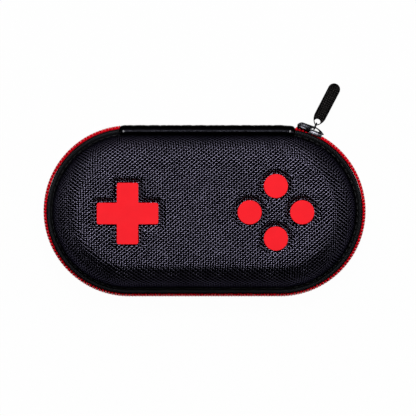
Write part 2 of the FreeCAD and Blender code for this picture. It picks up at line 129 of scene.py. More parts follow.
def makeWeaveGroup():
    # Plain weave of round yarns: every yarn rises and dives under the ones that cross it
    tree, given, result = newGroup("plainWeave", {
        "Place": None,
        "Column Pitch": 1.2,
        "Row Pitch": 1.0,
        "Column Slant": 0.0,
        "Row Slant": 0.0,
        "Dive": 0.5,
        "Column Lean": 0.0,
        "Row Lean": 0.0,
    }, ["Height", "Yarn", "Filament"])
    parts = splitAxes(tree, given["Place"])
    leaning = maths(tree, "MULTIPLY_ADD", parts[1], given["Column Slant"], parts[0])
    rising = maths(tree, "MULTIPLY_ADD", parts[0], given["Row Slant"], parts[1])
    across = maths(tree, "DIVIDE", leaning, given["Column Pitch"])
    along = maths(tree, "DIVIDE", rising, given["Row Pitch"])
    yarns = []
    for own, other, sign, lean in ((across, along, 1.0, "Column Lean"), (along, across, -1.0, "Row Lean")):
        side = maths(tree, "SUBTRACT", maths(tree, "FRACT", own), 0.5)
        squared = maths(tree, "MULTIPLY", maths(tree, "MULTIPLY", side, side), 4.0)
        arch = maths(tree, "SQRT", maths(tree, "MAXIMUM", maths(tree, "SUBTRACT", 1.0, squared), 0.0))
        crown = maths(tree, "SUBTRACT", maths(tree, "SUBTRACT", other, 0.5), given[lean])
        turn = maths(tree, "ADD", crown, maths(tree, "FLOOR", own))
        wave = maths(tree, "COSINE", maths(tree, "MULTIPLY", turn, math.pi))
        lift = maths(tree, "MULTIPLY", maths(tree, "MULTIPLY", wave, sign), given["Dive"])
        yarns.append(maths(tree, "ADD", arch, lift))
    height = maths(tree, "SMOOTH_MAX", yarns[0], yarns[1], weaveForm["join"])
    tree.links.new(height, result.inputs["Height"])
    # Yarn marks the crowns; the materials give the rest a dark colour, painted shade between the yarns
    highest = maths(tree, "ADD", given["Dive"], 1.0)
    level = maths(tree, "DIVIDE", height, highest)
    tree.links.new(remap(tree, level, weaveForm["yarnFrom"], 1.0), result.inputs["Yarn"])
    over = maths(tree, "GREATER_THAN", yarns[0], yarns[1])
    strands = []
    for own, other in ((across, along), (along, across)):
        twist = maths(tree, "MULTIPLY", own, weaveForm["strandTurns"])
        twist = maths(tree, "MULTIPLY_ADD", other, weaveForm["strandSlant"], twist)
        strands.append(maths(tree, "SINE", maths(tree, "MULTIPLY", twist, 2 * math.pi)))
    chosen = addNode(tree, "ShaderNodeMix", {0: over, 2: strands[1], 3: strands[0]}).outputs[0]
    tree.links.new(remap(tree, chosen, -1.0, 1.0), result.inputs["Filament"])
    return tree


def makeRibGroup():
    # Ribs that run across a tape, with finer yarns along it
    tree, given, result = newGroup(
        "ribbing", {"Place": None, "Rib Pitch": 0.8, "Yarn Pitch": 0.5, "Yarn Share": 0.3}, ["Height"]
    )
    parts = splitAxes(tree, given["Place"])
    waves = []
    for part, pitch in ((parts[0], given["Rib Pitch"]), (parts[1], given["Yarn Pitch"])):
        turn = maths(tree, "MULTIPLY", maths(tree, "DIVIDE", part, pitch), 2 * math.pi)
        waves.append(maths(tree, "MULTIPLY_ADD", maths(tree, "COSINE", turn), 0.5, 0.5))
    shaded = maths(tree, "MULTIPLY_ADD", waves[1], given["Yarn Share"], waves[0])
    tree.links.new(shaded, result.inputs["Height"])
    return tree


def makeGrainGroup():
    # Fine moulded grain with a slower swell under it
    tree, given, result = newGroup(
        "fineGrain", {"Grain Size": 0.3, "Swell Size": 6.0, "Swell": 0.3}, ["Height", "Tone"]
    )
    place = objectPlace(tree)
    grainScale = maths(tree, "DIVIDE", 1000.0, given["Grain Size"])
    swellScale = maths(tree, "DIVIDE", 1000.0, given["Swell Size"])
    cells = addNode(tree, "ShaderNodeTexVoronoi", {"Vector": place, "Scale": grainScale})
    swell = addNode(tree, "ShaderNodeTexNoise", {"Vector": place, "Scale": swellScale, "Detail": 2.0})
    both = maths(tree, "MULTIPLY_ADD", swell.outputs[0], given["Swell"], cells.outputs["Distance"])
    tree.links.new(both, result.inputs["Height"])
    tree.links.new(swell.outputs[0], result.inputs["Tone"])
    return tree


def makeWearGroup():
    # Patchy change of tone, as dust and handling leave it
    tree, given, result = newGroup("handling", {"Patch Size": 18.0, "Amount": 0.2}, ["Tone"])
    scale = maths(tree, "DIVIDE", 1000.0, given["Patch Size"])
    noise = addNode(tree, "ShaderNodeTexNoise", {"Vector": objectPlace(tree), "Scale": scale, "Detail": 4.0})
    low = maths(tree, "SUBTRACT", 1.0, given["Amount"])
    high = maths(tree, "ADD", 1.0, given["Amount"])
    tree.links.new(remap(tree, noise.outputs[0], 0.3, 0.7, low, high), result.inputs["Tone"])
    return tree


weaveGroup = makeWeaveGroup()
ribGroup = makeRibGroup()
grainGroup = makeGrainGroup()
wearGroup = makeWearGroup()


def useGroup(tree, group, inputs):
    return addNode(tree, "ShaderNodeGroup", inputs, node_tree=group).outputs


def newMaterial(name):
    material = bpy.data.materials.new(name)
    material.use_nodes = True
    tree = material.node_tree
    return material, tree, tree.nodes["Principled BSDF"]


def setShader(shader, **values):
    # A value is a number, a colour or the socket that gives it
    for label, value in values.items():
        pin = shader.inputs[label.replace("_", " ")]
        if isinstance(value, bpy.types.NodeSocket):
            shader.id_data.links.new(value, pin)
        else:
            pin.default_value = (*value, 1) if isinstance(value, tuple) else value


def addBump(tree, shader, height, depth, strength=1.0):
    bump = addNode(tree, "ShaderNodeBump", {"Height": height, "Distance": depth, "Strength": strength})
    setShader(shader, Normal=bump.outputs[0])


def clothCoordinates(tree):
    return addNode(tree, "ShaderNodeUVMap", uv_map=clothMap).outputs[0]


shellWeave = {
    "columnPitch": 1.224,
    "rowPitch": 0.948,
    "columnSlant": 0.02,
    "rowSlant": -0.061,
    "dive": 0.5,
    "columnLean": 0.16,
    "rowLean": 0.5,
    "leanTurns": 0.75,
    "turnsPerSlope": (3.0, 1.3),
    # painted shade towards the rim: heights from and to above the parting, and the darkest share
    "paintedRimShade": (8.0, 22.6, 0.5),
    "relief": 0.00027,
    # the gap colour is painted shade between the yarns
    "gap": (0.0, 0.0, 0.0),
    "yarn": (0.127, 0.1175, 0.1685),
    "edge": (0.004, 0.004, 0.005),
    "roughness": 0.3,
}


def rowLean(tree, look):
    # Painted highlight: the crowns and their yarn colour lean one way or the other with the surface's slope,
    # so that the glints line up into streaks that turn with the slope as under the light
    normal = splitAxes(tree, addNode(tree, "ShaderNodeTexCoord").outputs["Normal"])
    slopeX, slopeY = look["turnsPerSlope"]
    turns = maths(tree, "MULTIPLY_ADD", normal[0], -slopeX, look["leanTurns"])
    turns = maths(tree, "MULTIPLY_ADD", normal[1], -slopeY, turns)
    lean = maths(tree, "SINE", maths(tree, "MULTIPLY", turns, math.pi))
    return maths(tree, "MULTIPLY", lean, look["rowLean"])


def paintedRimShade(tree, look):
    # Painted shade: the colour darkens down the walls towards the rim, where less light falls
    height = splitAxes(tree, objectPlace(tree))[2]
    fromParting = maths(tree, "ABSOLUTE", maths(tree, "SUBTRACT", height, case["parting"] * mm))
    low, high, shade = look["paintedRimShade"]
    return remap(tree, fromParting, low * mm, high * mm, shade, 1.0)


def makeWeaveMaterial(name, look):
    material, tree, shader = newMaterial(name)
    weave = useGroup(tree, weaveGroup, {
        "Place": clothCoordinates(tree),
        "Column Pitch": look["columnPitch"],
        "Row Pitch": look["rowPitch"],
        "Column Slant": look["columnSlant"],
        "Row Slant": look["rowSlant"],
        "Dive": look["dive"],
        "Column Lean": look["columnLean"],
        "Row Lean": rowLean(tree, look),
    })
    wear = useGroup(tree, wearGroup, {"Patch Size": 14.0, "Amount": 0.14})
    filament = maths(tree, "MULTIPLY_ADD", weave["Filament"], 0.3, 0.7)
    # Painted shade: the gaps between the yarns take the black gap colour, and the yarn colour shows only on
    # the crowns
    share = maths(tree, "MULTIPLY", maths(tree, "MULTIPLY", weave["Yarn"], filament), wear["Tone"])
    share = maths(tree, "MULTIPLY", share, paintedRimShade(tree, look))
    height = maths(tree, "MULTIPLY_ADD", weave["Filament"], 0.04, weave["Height"])
    addBump(tree, shader, height, look["relief"])
    setShader(shader, Base_Color=blendColour(tree, share, look["gap"], look["yarn"]),
              Roughness=look["roughness"], Metallic=1.0, Specular_Tint=look["edge"])
    return material


def makeRibMaterial(name, colour, ribPitch, yarnPitch, depth, roughness=0.7):
    material, tree, shader = newMaterial(name)
    rib = useGroup(tree, ribGroup, {
        "Place": clothCoordinates(tree), "Rib Pitch": ribPitch, "Yarn Pitch": yarnPitch,
    })
    wear = useGroup(tree, wearGroup, {"Patch Size": 10.0, "Amount": 0.15})
    # Painted shade: the valleys between the ribs take a darker copy of the colour
    share = maths(tree, "MULTIPLY", remap(tree, rib["Height"], 0.1, 1.0), wear["Tone"])
    dark = tuple(value * 0.3 for value in colour)
    addBump(tree, shader, rib["Height"], depth)
    setShader(shader, Base_Color=blendColour(tree, share, dark, colour), Roughness=roughness,
              Specular_IOR_Level=0.3)
    return material


def makeGrainMaterial(name, colour, grainSize, swellSize, depth, roughness, specular=0.4, **extra):
    material, tree, shader = newMaterial(name)
    grain = useGroup(tree, grainGroup, {"Grain Size": grainSize, "Swell Size": swellSize, "Swell": 0.3})
    wear = useGroup(tree, wearGroup, {"Patch Size": 9.0, "Amount": 0.06})
    bright = tuple(min(value * 1.05, 1.0) for value in colour)
    dark = tuple(value * 0.93 for value in colour)
    addBump(tree, shader, grain["Height"], depth)
    setShader(shader, Base_Color=blendColour(tree, grain["Tone"], dark, bright),
              Roughness=maths(tree, "MULTIPLY", wear["Tone"], roughness),
              Specular_IOR_Level=specular, **extra)
    return material


liningLook = {
    "columnPitch": 0.7,
    "rowPitch": 0.5,
    "dive": 0.4,
    "dark": (0.05, 0.05, 0.055),
    "light": (0.13, 0.13, 0.14),
    "relief": 0.0001,
}


def makeLiningMaterial():
    # Brushed knit: short soft fibres over fine stitches
    material, tree, shader = newMaterial("brushedLining")
    weave = useGroup(tree, weaveGroup, {
        "Place": clothCoordinates(tree),
        "Column Pitch": liningLook["columnPitch"],
        "Row Pitch": liningLook["rowPitch"],
        "Dive": liningLook["dive"],
    })
    wear = useGroup(tree, wearGroup, {"Patch Size": 5.0, "Amount": 0.25})
    # Painted shade: the knit's low parts between the crowns take the dark colour
    share = maths(tree, "MULTIPLY", weave["Yarn"], wear["Tone"])
    addBump(tree, shader, weave["Height"], liningLook["relief"], 0.8)
    setShader(shader, Base_Color=blendColour(tree, share, liningLook["dark"], liningLook["light"]),
              Roughness=0.9, Sheen_Weight=0.25, Sheen_Roughness=0.5, Specular_IOR_Level=0.2)
    return material


def makeMetalMaterial(name, dark, light, roughness):
    material, tree, shader = newMaterial(name)
    grain = useGroup(tree, grainGroup, {"Grain Size": 0.9, "Swell Size": 2.5, "Swell": 0.8})
    wear = useGroup(tree, wearGroup, {"Patch Size": 2.0, "Amount": 0.3})
    addBump(tree, shader, grain["Height"], 0.00004, 0.5)
    setShader(shader, Base_Color=blendColour(tree, grain["Tone"], dark, light),
              Roughness=maths(tree, "MULTIPLY", wear["Tone"], roughness),
              Metallic=1.0, Specular_Tint=(0.06, 0.06, 0.07))
    return material


tabLook = {
    "hatchPitch": 0.8,
    "hatchDepth": 0.00012,
    "groove": (0.001, 0.001, 0.001),
    "ridge": (0.05, 0.045, 0.045),
    "edge": (0.02, 0.02, 0.02),
    "roughness": 0.45,
}


def makeTabMaterial():
    # Two sets of slanted ridges that cross, as moulded into the pull
    material, tree, shader = newMaterial("hatchedRubber")
    parts = splitAxes(tree, clothCoordinates(tree))
    perMillimetre = 2 * math.pi / (tabLook["hatchPitch"] * math.sqrt(2))
    waves = []
    for sign in (1.0, -1.0):
        slanted = maths(tree, "MULTIPLY_ADD", parts[1], sign, parts[0])
        turn = maths(tree, "MULTIPLY", slanted, perMillimetre)
        waves.append(maths(tree, "MULTIPLY_ADD", maths(tree, "SINE", turn), 0.5, 0.5))
    hatch = maths(tree, "MINIMUM", waves[0], waves[1])
    grain = useGroup(tree, grainGroup, {"Grain Size": 0.16, "Swell Size": 3.0, "Swell": 0.4})
    height = maths(tree, "MULTIPLY_ADD", grain["Height"], 0.15, hatch)
    # Painted shade: the grooves between the ridges take the near-black groove colour
    share = maths(tree, "MULTIPLY", remap(tree, hatch, 0.1, 0.8), grain["Tone"])
    addBump(tree, shader, height, tabLook["hatchDepth"])
    setShader(shader, Base_Color=blendColour(tree, share, tabLook["groove"], tabLook["ridge"]),
              Roughness=tabLook["roughness"], Metallic=1.0, Specular_Tint=tabLook["edge"])
    return material


tapeLook = {
    "columnPitch": 0.9,
    "rowPitch": 0.7,
    "columnSlant": 0.6,
    "rowSlant": 0.0,
    "dive": 0.35,
    "columnLean": 0.0,
    "rowLean": 0.0,
    "leanTurns": 0.0,
    "turnsPerSlope": (0.0, 0.0),
    "paintedRimShade": (0.0, 1.0, 1.0),
    "relief": 0.00012,
    # the gap colour is painted shade between the yarns
    "gap": (0.004, 0.0043, 0.0048),
    "yarn": (0.045, 0.047, 0.053),
    "edge": (0.05, 0.05, 0.05),
    "roughness": 0.6,
}

finish = {
    "weave": makeWeaveMaterial("ballisticWeave", shellWeave),
    "tape": makeWeaveMaterial("tapeTwill", tapeLook),
    "lining": makeLiningMaterial(),
    "binding": makeRibMaterial("ribbedBinding", (0.03, 0.03, 0.033), 0.9, 0.45, 0.00015),
    "elastic": makeRibMaterial("ribbedElastic", (0.045, 0.045, 0.05), 1.1, 0.6, 0.0002),
    "thread": makeRibMaterial("twistedThread", (0.028, 0.028, 0.032), 0.35, 0.3, 0.00005, roughness=0.45),
    # pale thread is a painted highlight, for the glints at the hinge cover's ends
    "tack": makeRibMaterial("paintedGlintThread", (0.4, 0.4, 0.43), 0.35, 0.3, 0.00005, roughness=0.4),
    "net": makeRibMaterial("knittedNet", (0.03, 0.03, 0.033), 0.5, 0.3, 0.00005),
    "hinge": makeGrainMaterial("coatedCloth", (0.0068, 0.0068, 0.0088), 0.5, 7.0, 0.00006, 0.3,
                               Metallic=1.0, Specular_Tint=(0.02, 0.02, 0.02)),
    "patch": makeGrainMaterial("redRubber", (0.9, 0.013, 0.022), 0.28, 5.0, 0.00002, 0.75, specular=0.1),
    "teeth": makeGrainMaterial("redNylon", (0.55, 0.003, 0.01), 0.6, 2.0, 0.00001, 0.4, specular=0.0,
                               Metallic=0.35, Specular_Tint=(0.1, 0.0, 0.0)),
    "metal": makeMetalMaterial("blackNickel", (0.008, 0.008, 0.01), (0.026, 0.026, 0.03), 0.16),
    # A paler copy of the nickel, a painted highlight for the glint on the slider's flanges
    "paleMetal": makeMetalMaterial("paintedGlintNickel", (0.05, 0.05, 0.06), (0.2, 0.2, 0.23), 0.3),
    "tab": makeTabMaterial(),
}
report("materials made")


# Shapes that follow the case's outline: two half circles joined by straight sides

halves = (("lid", 1), ("base", -1))


def endAngle(distance):
    return math.degrees(math.acos((distance - case["endCentre"]) / case["hingeRadius"]))


def endStations(sign, start, stop, step):
    count = max(int(abs(stop - start) / step), 2)
    angles = np.radians(np.linspace(start, stop, count + 1))
    centres = np.full(count + 1, sign * case["endCentre"])
    return np.stack([centres, np.cos(angles), np.sin(angles)], 1)


def sideStations(direction, step):
    reach = direction * case["endCentre"]
    count = max(int(abs(2 * reach) / step), 2)
    centres = np.linspace(-reach, reach, count + 1)
    return np.stack([centres, np.zeros(count + 1), np.full(count + 1, direction)], 1)


def stations(run, turnStep, sideStep, overlap=0.0):
    # Each row is the centre's X and the outward direction
    right = endAngle(case["hingeRight"])
    left = 180 - endAngle(case["hingeLeft"])
    front = sideStations(-1.0, sideStep)
    back = sideStations(1.0, sideStep)
    if run == "all":
        rows = [endStations(1, 90, -90, turnStep), front, endStations(-1, 270, 90, turnStep), back]
    elif run == "zipper":
        rows = [
            endStations(1, right + case["zipOverrun"], -90, turnStep),
            front,
            endStations(-1, 270, left - case["zipOverrun"], turnStep),
        ]
    else:
        rows = [
            endStations(-1, left + overlap, 90, turnStep),
            back,
            endStations(1, 90, right - overlap, turnStep),
        ]
    return np.concatenate([rows[0]] + [part[1:] for part in rows[1:]])


def arcPoints(centre, radius, start, stop, count):
    angles = np.radians(np.linspace(start, stop, count + 1))
    return [(centre[0] + radius * math.cos(a), centre[1] + radius * math.sin(a)) for a in angles]


def travelled(points, closed=False):
    # Distance to each point along the line, and on to the first one where the line is closed
    points = np.asarray(points, float)
    if closed:
        points = np.append(points, points[:1], 0)
    steps = np.hypot(*np.diff(points, axis=0).T)
    return np.concatenate([[0], np.cumsum(steps)])


def gridFaces(index, walk, place, order=(0, 1, 2, 3)):
    # Quads between the vertices of a grid, each corner with its two distances along the cloth
    faces = []
    uvs = []
    for c in range(len(walk) - 1):
        for r in range(len(place) - 1):
            corners = [(c, r), (c + 1, r), (c + 1, r + 1), (c, r + 1)]
            picked = [corners[o] for o in order]
            faces.append([index[corner] for corner in picked])
            uvs.append([(walk[i], place[k]) for i, k in picked])
    return faces, uvs


def linkMesh(name, mesh):
    mesh.polygons.foreach_set("use_smooth", np.full(len(mesh.polygons), True))
    thing = bpy.data.objects.new(name, mesh)
    bpy.context.scene.collection.objects.link(thing)
    return thing


def buildObject(name, vertices, faces, uvs, materials, faceMaterial=None):
    mesh = bpy.data.meshes.new(name)
    points = [tuple(v) for v in np.asarray(vertices) * mm]
    mesh.from_pydata(points, [], [tuple(int(i) for i in face) for face in faces])
    for material in materials:
        mesh.materials.append(material)
    if faceMaterial is not None:
        mesh.polygons.foreach_set("material_index", np.asarray(faceMaterial, np.int32))
    layer = mesh.uv_layers.new(name=clothMap)
    flat = np.concatenate([np.asarray(u, np.float32).reshape(-1, 2) for u in uvs])
    layer.data.foreach_set("uv", flat.ravel())
    mesh.update()
    return linkMesh(name, mesh)


def sweepProfile(path, profile, closedLoop, mirror=1, skin=False, zOf=None):
    # Grid from a profile of (radius, height) carried along the stations; a skin's profile is an open line
    profile = np.asarray(profile, float)
    if closedLoop:
        path = path[:-1]
    x = path[:, :1] + path[:, 1:2] * profile[:, 0]
    y = path[:, 2:] * profile[:, 0]
    z = np.broadcast_to(profile[:, 1], x.shape).copy()
    if zOf is not None:
        z = zOf(x, y, z)
    vertices = np.stack([x, y, z * mirror + case["parting"]], 2).reshape(-1, 3)
    index = np.arange(x.size).reshape(x.shape)
    rings = index[[0, -1]]
    middle = x.shape[1] // 2
    walk = travelled(np.stack([x[:, middle], y[:, middle]], 1), closedLoop)
    place = travelled(profile, not skin)
    if closedLoop:
        index = np.append(index, index[:1], 0)
    if not skin:
        index = np.append(index, index[:, :1], 1)
    faces, uvs = gridFaces(index, walk, place, (0, 1, 2, 3)[::-mirror])
    if skin:
        flat = np.stack([path[:, :1] + path[:, 1:2] * place, path[:, 2:] * place], 2).reshape(-1, 2)
        uvs = [flat[face] for face in faces]
    if not closedLoop:
        for ring, turn in zip(rings, (mirror, -mirror)):
            faces.append(ring[::turn])
            uvs.append(profile[::turn])
    return vertices, faces, uvs


def tidyMesh(thing, distance=1e-6):
    work = bmesh.new()
    work.from_mesh(thing.data)
    bmesh.ops.remove_doubles(work, verts=work.verts, dist=distance)
    bmesh.ops.recalc_face_normals(work, faces=work.faces)
    work.to_mesh(thing.data)
    work.free()
    thing.data.update()


def sharpenAt(thing, degrees):
    thing.data.set_sharp_from_angle(angle=math.radians(degrees))


def assign(thing, body, node):
    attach(thing, body)
    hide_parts(node)


def finishPiece(thing, body, node):
    tidyMesh(thing)
    sharpenAt(thing, 50)
    assign(thing, body, node)


# Moulded shells

def wallOutside(height):
    return case["rimRadius"] - (height - case["rimGap"]) * math.tan(case["draft"])


def wallInside(height):
    return wallOutside(height) - case["wall"] / math.cos(case["draft"])


def skinPoints(height, shoulder, inset, flatStep, bendCount, wallCount):
    draft = case["draft"]
    centreZ = height - shoulder
    centreR = wallOutside(centreZ) - shoulder / math.cos(draft)
    flatCount = int(centreR / flatStep)
    points = [(r, height - inset) for r in np.linspace(0, centreR, flatCount + 1)]
    points += arcPoints((centreR, centreZ), shoulder - inset, 90, math.degrees(draft), bendCount)[1:]
    rim = np.array((case["rimRadius"] - inset / math.cos(draft), case["rimGap"]))
    last = np.array(points[-1])
    points += [tuple(last + (rim - last) * t) for t in np.linspace(0, 1, wallCount + 1)[1:]]
    return points


patches = {
    "crossCentre": (-38.1, -0.6),
    "crossHalf": 15.25,
    "armHalf": 5.35,
    "buttonCentre": (35.3, 0.0),
    "buttonSpacing": 13.0,
    "buttonRadius": 6.0,
    "dishDepth": 0.9,
    "dishFrom": 0.25,
    "dishTo": 3.3,
    "dishBelow": 0.6,  # the dishes take in what lies this close to the top
}


def crossDistance(x, y):
    ax = np.abs(x - patches["crossCentre"][0])
    ay = np.abs(y - patches["crossCentre"][1])
    long = np.maximum(ax, ay)
    short = np.minimum(ax, ay)
    outLong = np.maximum(long - patches["crossHalf"], 0)
    outShort = np.maximum(short - patches["armHalf"], 0)
    beyond = np.hypot(outLong, outShort)
    return np.where(beyond > 0, beyond, -np.maximum(patches["armHalf"] - long, 0))


def dishDrop(x, y):
    reach = crossDistance(x, y)
    middleX, middleY = patches["buttonCentre"]
    for turn in range(4):
        angle = math.pi / 2 * turn
        spotX = middleX + patches["buttonSpacing"] * math.cos(angle)
        spotY = middleY + patches["buttonSpacing"] * math.sin(angle)
        reach = np.minimum(reach, np.hypot(x - spotX, y - spotY) - patches["buttonRadius"])
    share = np.clip((reach - patches["dishFrom"]) / (patches["dishTo"] - patches["dishFrom"]), 0, 1)
    return patches["dishDepth"] * (1 - share * share * (3 - 2 * share))


crown = {"from": 19.0, "to": 30.0, "end": 37.4, "drop": 0.8, "below": 9.0}


def crownDrop(x, y):
    # The moulded top sags a little towards its shoulder
    reach = np.hypot(np.maximum(np.abs(x) - case["endCentre"], 0), y)
    rise = np.clip((reach - crown["from"]) / (crown["to"] - crown["from"]), 0, 1)
    fade = np.clip((crown["end"] - reach) / (crown["end"] - crown["to"]), 0, 1)
    return crown["drop"] * rise ** 2 * fade ** 2 * (3 - 2 * fade)


shells = {
    "lid": {"height": 22.0, "shoulder": 12.0, "sideStep": 0.62, "turnStep": 1.4, "bend": 20},
    "base": {"height": 24.0, "shoulder": 9.0, "sideStep": 2.5, "turnStep": 2.4, "bend": 12},
    "wallCount": 7,
    "inside": (6.0, 8, 3),  # step on the flat, counts on the bend and the wall
}


def makeShell(body, mirror):
    look = shells[body]
    height = look["height"]
    path = stations("all", look["turnStep"], look["sideStep"])
    outside = skinPoints(height, look["shoulder"], 0, look["sideStep"], look["bend"], shells["wallCount"])
    inside = skinPoints(height, look["shoulder"], case["wall"], *shells["inside"])

    def pressed(x, y, z):
        dish = np.where(z > height - patches["dishBelow"], dishDrop(x, y), 0)
        return z - dish - np.where(z > height - crown["below"], crownDrop(x, y), 0)

    zOf = pressed if body == "lid" else None
    vertices, faces, uvs = sweepProfile(path, outside, True, mirror, True, zOf)
    insideVertices, insideFaces, insideUvs = sweepProfile(path, inside, True, mirror, True)
    shift = len(vertices)
    columns = len(path) - 1
    inner = [[shift + i for i in face[::-1]] for face in insideFaces]
    slots = [0] * len(faces) + [1] * (len(inner) + columns)
    # The lip joins the two skins at the rim
    rims = [[(c % columns + 1) * len(outside) - 1 for c in range(columns + 1)],
            [shift + (c % columns + 1) * len(inside) - 1 for c in range(columns + 1)]]
    lipWidths = (0, 2)[::-mirror]
    order = (0, 1, 2, 3)[::-mirror]
    lips, lipUvs = gridFaces(np.array(rims).T, range(columns + 1), lipWidths, order)
    whole = np.concatenate([vertices, insideVertices])
    allUvs = uvs + [uv[::-1] for uv in insideUvs] + lipUvs
    looks = [finish["weave"], finish["lining"]]
    thing = buildObject(body + "Cover", whole, faces + inner + lips, allUvs, looks, slots)
    finishPiece(thing, body, body + "_shell")


for body, mirror in halves:
    makeShell(body, mirror)
report("shells built")

for node in ["dpad_patch"] + ["button_patch_" + side for side in ("top", "right", "bottom", "left")]:
    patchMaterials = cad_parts[node].data.materials
    patchMaterials.clear()
    patchMaterials.append(finish["patch"])


# Zipper tape

tape = {
    "thickness": 0.8,
    "seam": 4.4,
    "sewn": 0.12,
    "edge": 1.2,
    "edgeRound": 0.15,
    "ridge": 0.35,
    "dip": 0.25,
    "dipRun": (-0.5, 0.2),  # beyond the rim
    "fold": 1.0,
    "innerFold": 0.3,
    "innerRound": 0.1,
    "ridgeRun": 0.55,
    "straight": 3.0,
    "steps": (2.0, 3.0),
}


def tapeProfile():
    seamTop = case["rimGap"] + tape["seam"]
    shelf = case["rimGap"] - tape["sewn"]
    outer = case["tapeRadius"]
    thick = tape["thickness"]
    fold = tape["fold"]
    innerFold = tape["innerFold"]
    edge = tape["edge"]
    rounding = tape["edgeRound"]
    seatTop = wallInside(seamTop) - tape["sewn"]
    seatLow = wallInside(shelf) - tape["sewn"]
    dipFrom, dipTo = (case["rimRadius"] + run for run in tape["dipRun"])
    points = [(seatTop, seamTop), (seatLow, shelf), (dipFrom, shelf - 0.02), (dipTo, shelf - tape["dip"])]
    points += [(outer - fold - tape["ridgeRun"], shelf + tape["ridge"] * 0.55)]
    points += arcPoints((outer - fold, shelf + tape["ridge"] - fold), fold, 90, 0, 7)
    points += [(outer, tape["straight"]), (outer, edge + rounding), (outer - rounding, edge)]
    points += [(outer - thick + tape["innerRound"], edge), (outer - thick, edge + rounding)]
    points += arcPoints((outer - thick - innerFold, shelf - thick - innerFold), innerFold, 0, 90, 3)
    points += [(seatLow - thick, shelf - thick), (seatTop - thick, seamTop)]
    return points


for body, mirror in halves:
    tapeGrid = sweepProfile(stations("zipper", *tape["steps"]), tapeProfile(), False, mirror)
    thing = buildObject(body + "Tape", *tapeGrid, [finish["tape"]])
    finishPiece(thing, body, body + "_zip_tape")


# Teeth: one rounded bar copied along each tape's edge

teeth = {
    "pitch": 1.64,
    "width": 0.8,
    "tip": 0.74,
    "depth": 1.55,
    "reach": 0.45,
    "height": 3.2,
    "seat": 0.04,
    "bevel": 0.22,
    "spread": 1.45,
    "spreadStart": -0.9,
    "spreadLength": 1.9,
    "endGap": 0.3,
    "cord": (0.06, 0.9, 0.95, 1.9),  # from and to, beyond the tape and above the parting plane
}


def toothTemplate():
    work = bmesh.new()
    bmesh.ops.create_cube(work, size=1.0)
    for vertex in work.verts:
        outward = vertex.co.x > 0
        width = teeth["tip"] if outward else teeth["width"]
        vertex.co = Vector((
            teeth["seat"] + (teeth["depth"] if outward else 0),
            vertex.co.y * width,
            (vertex.co.z + 0.5) * teeth["height"] - teeth["reach"],
        ))
    bmesh.ops.bevel(work, geom=work.edges, offset=teeth["bevel"], segments=2, profile=0.6, affect="EDGES")
    return templateData(work)


def templateData(work):
    work.verts.index_update()
    points = np.array([v.co for v in work.verts])
    faces = [[v.index for v in f.verts] for f in work.faces]
    work.free()
    return points, faces


def chainPoint(distance, radius):
    start = math.radians(endAngle(case["hingeRight"]))
    first = (start + math.pi / 2) * radius
    straight = 2 * case["endCentre"]
    if distance < first:
        angle = start - distance / radius
        centre = case["endCentre"]
    elif distance < first + straight:
        return case["endCentre"] - (distance - first), -radius, -math.pi / 2
    else:
        angle = -math.pi / 2 - (distance - first - straight) / radius
        centre = -case["endCentre"]
    return centre + radius * math.cos(angle), radius * math.sin(angle), angle


def makeTeeth(body, side):
    radius = case["tapeRadius"]
    turns = [math.radians(endAngle(case[end]) + 90) for end in ("hingeRight", "hingeLeft")]
    length = sum(turns) * radius + 2 * case["endCentre"]
    count = int((length - 2 * teeth["endGap"]) / teeth["pitch"])
    first = (length - (count - 1) * teeth["pitch"]) / 2
    shift = 0 if side > 0 else teeth["pitch"] / 2  # the two rows mesh
    pattern, patternFaces = toothTemplate()
    vertices = []
    faces = []
    uvs = []
    for number in range(count):
        distance = first + number * teeth["pitch"] + shift
        if distance > length - teeth["endGap"] - teeth["width"] / 2:
            continue
        x, y, angle = chainPoint(distance, radius)
        along = (math.radians(case["sliderAngle"]) - angle) * radius
        share = min(max((teeth["spreadStart"] - along) / teeth["spreadLength"], 0), 1)
        cosine = math.cos(angle)
        sine = math.sin(angle)
        offset = len(vertices) * len(pattern)
        vertices.append(np.stack([
            x + pattern[:, 0] * cosine - pattern[:, 1] * sine,
            y + pattern[:, 0] * sine + pattern[:, 1] * cosine,
            case["parting"] + side * (pattern[:, 2] + teeth["spread"] * share),
        ], 1))
        for face in patternFaces:
            ring = face[::side]
            faces.append([offset + i for i in ring])
            uvs.append([(pattern[i, 1] + distance, pattern[i, 2]) for i in ring])
    # A cord runs through the row, so no light shows between the teeth
    near, far, low, high = teeth["cord"]
    cord = [(radius + near, low), (radius + far, low), (radius + far, high), (radius + near, high)]
    cordVertices, cordFaces, cordUvs = sweepProfile(stations("zipper", *tape["steps"]), cord, False, side)
    offset = len(vertices) * len(pattern)
    faces += [[offset + i for i in face] for face in cordFaces]
    whole = np.concatenate(vertices + [cordVertices])
    thing = buildObject(body + "Teeth", whole, faces, uvs + cordUvs, [finish["teeth"]])
    assign(thing, body, body + "_zip_teeth")


for body, side in halves:
    makeTeeth(body, side)
report("zipper built")


# Cloth hinge

hinge = {
    "seam": 7.9,
    "crest": 9.1,
    "crestRadius": 39.9,
    "flat": 1.6,
    "thickness": 1.3,
    "proud": 0.1,
    "steps": (1.2, 0.8),
    "pucker": 0.24,
    "puckerWaves": ((0.55, 0.0, 0.5), (1.37, 1.0, 0.3), (2.9, 2.1, 0.2)),  # per millimetre, start, share
    "puckerLift": 4.0,
    "endRound": 2.2,
    "endOverlap": 1.1,
    "endPuff": 0.65,
    "endNarrow": 0.9,
}


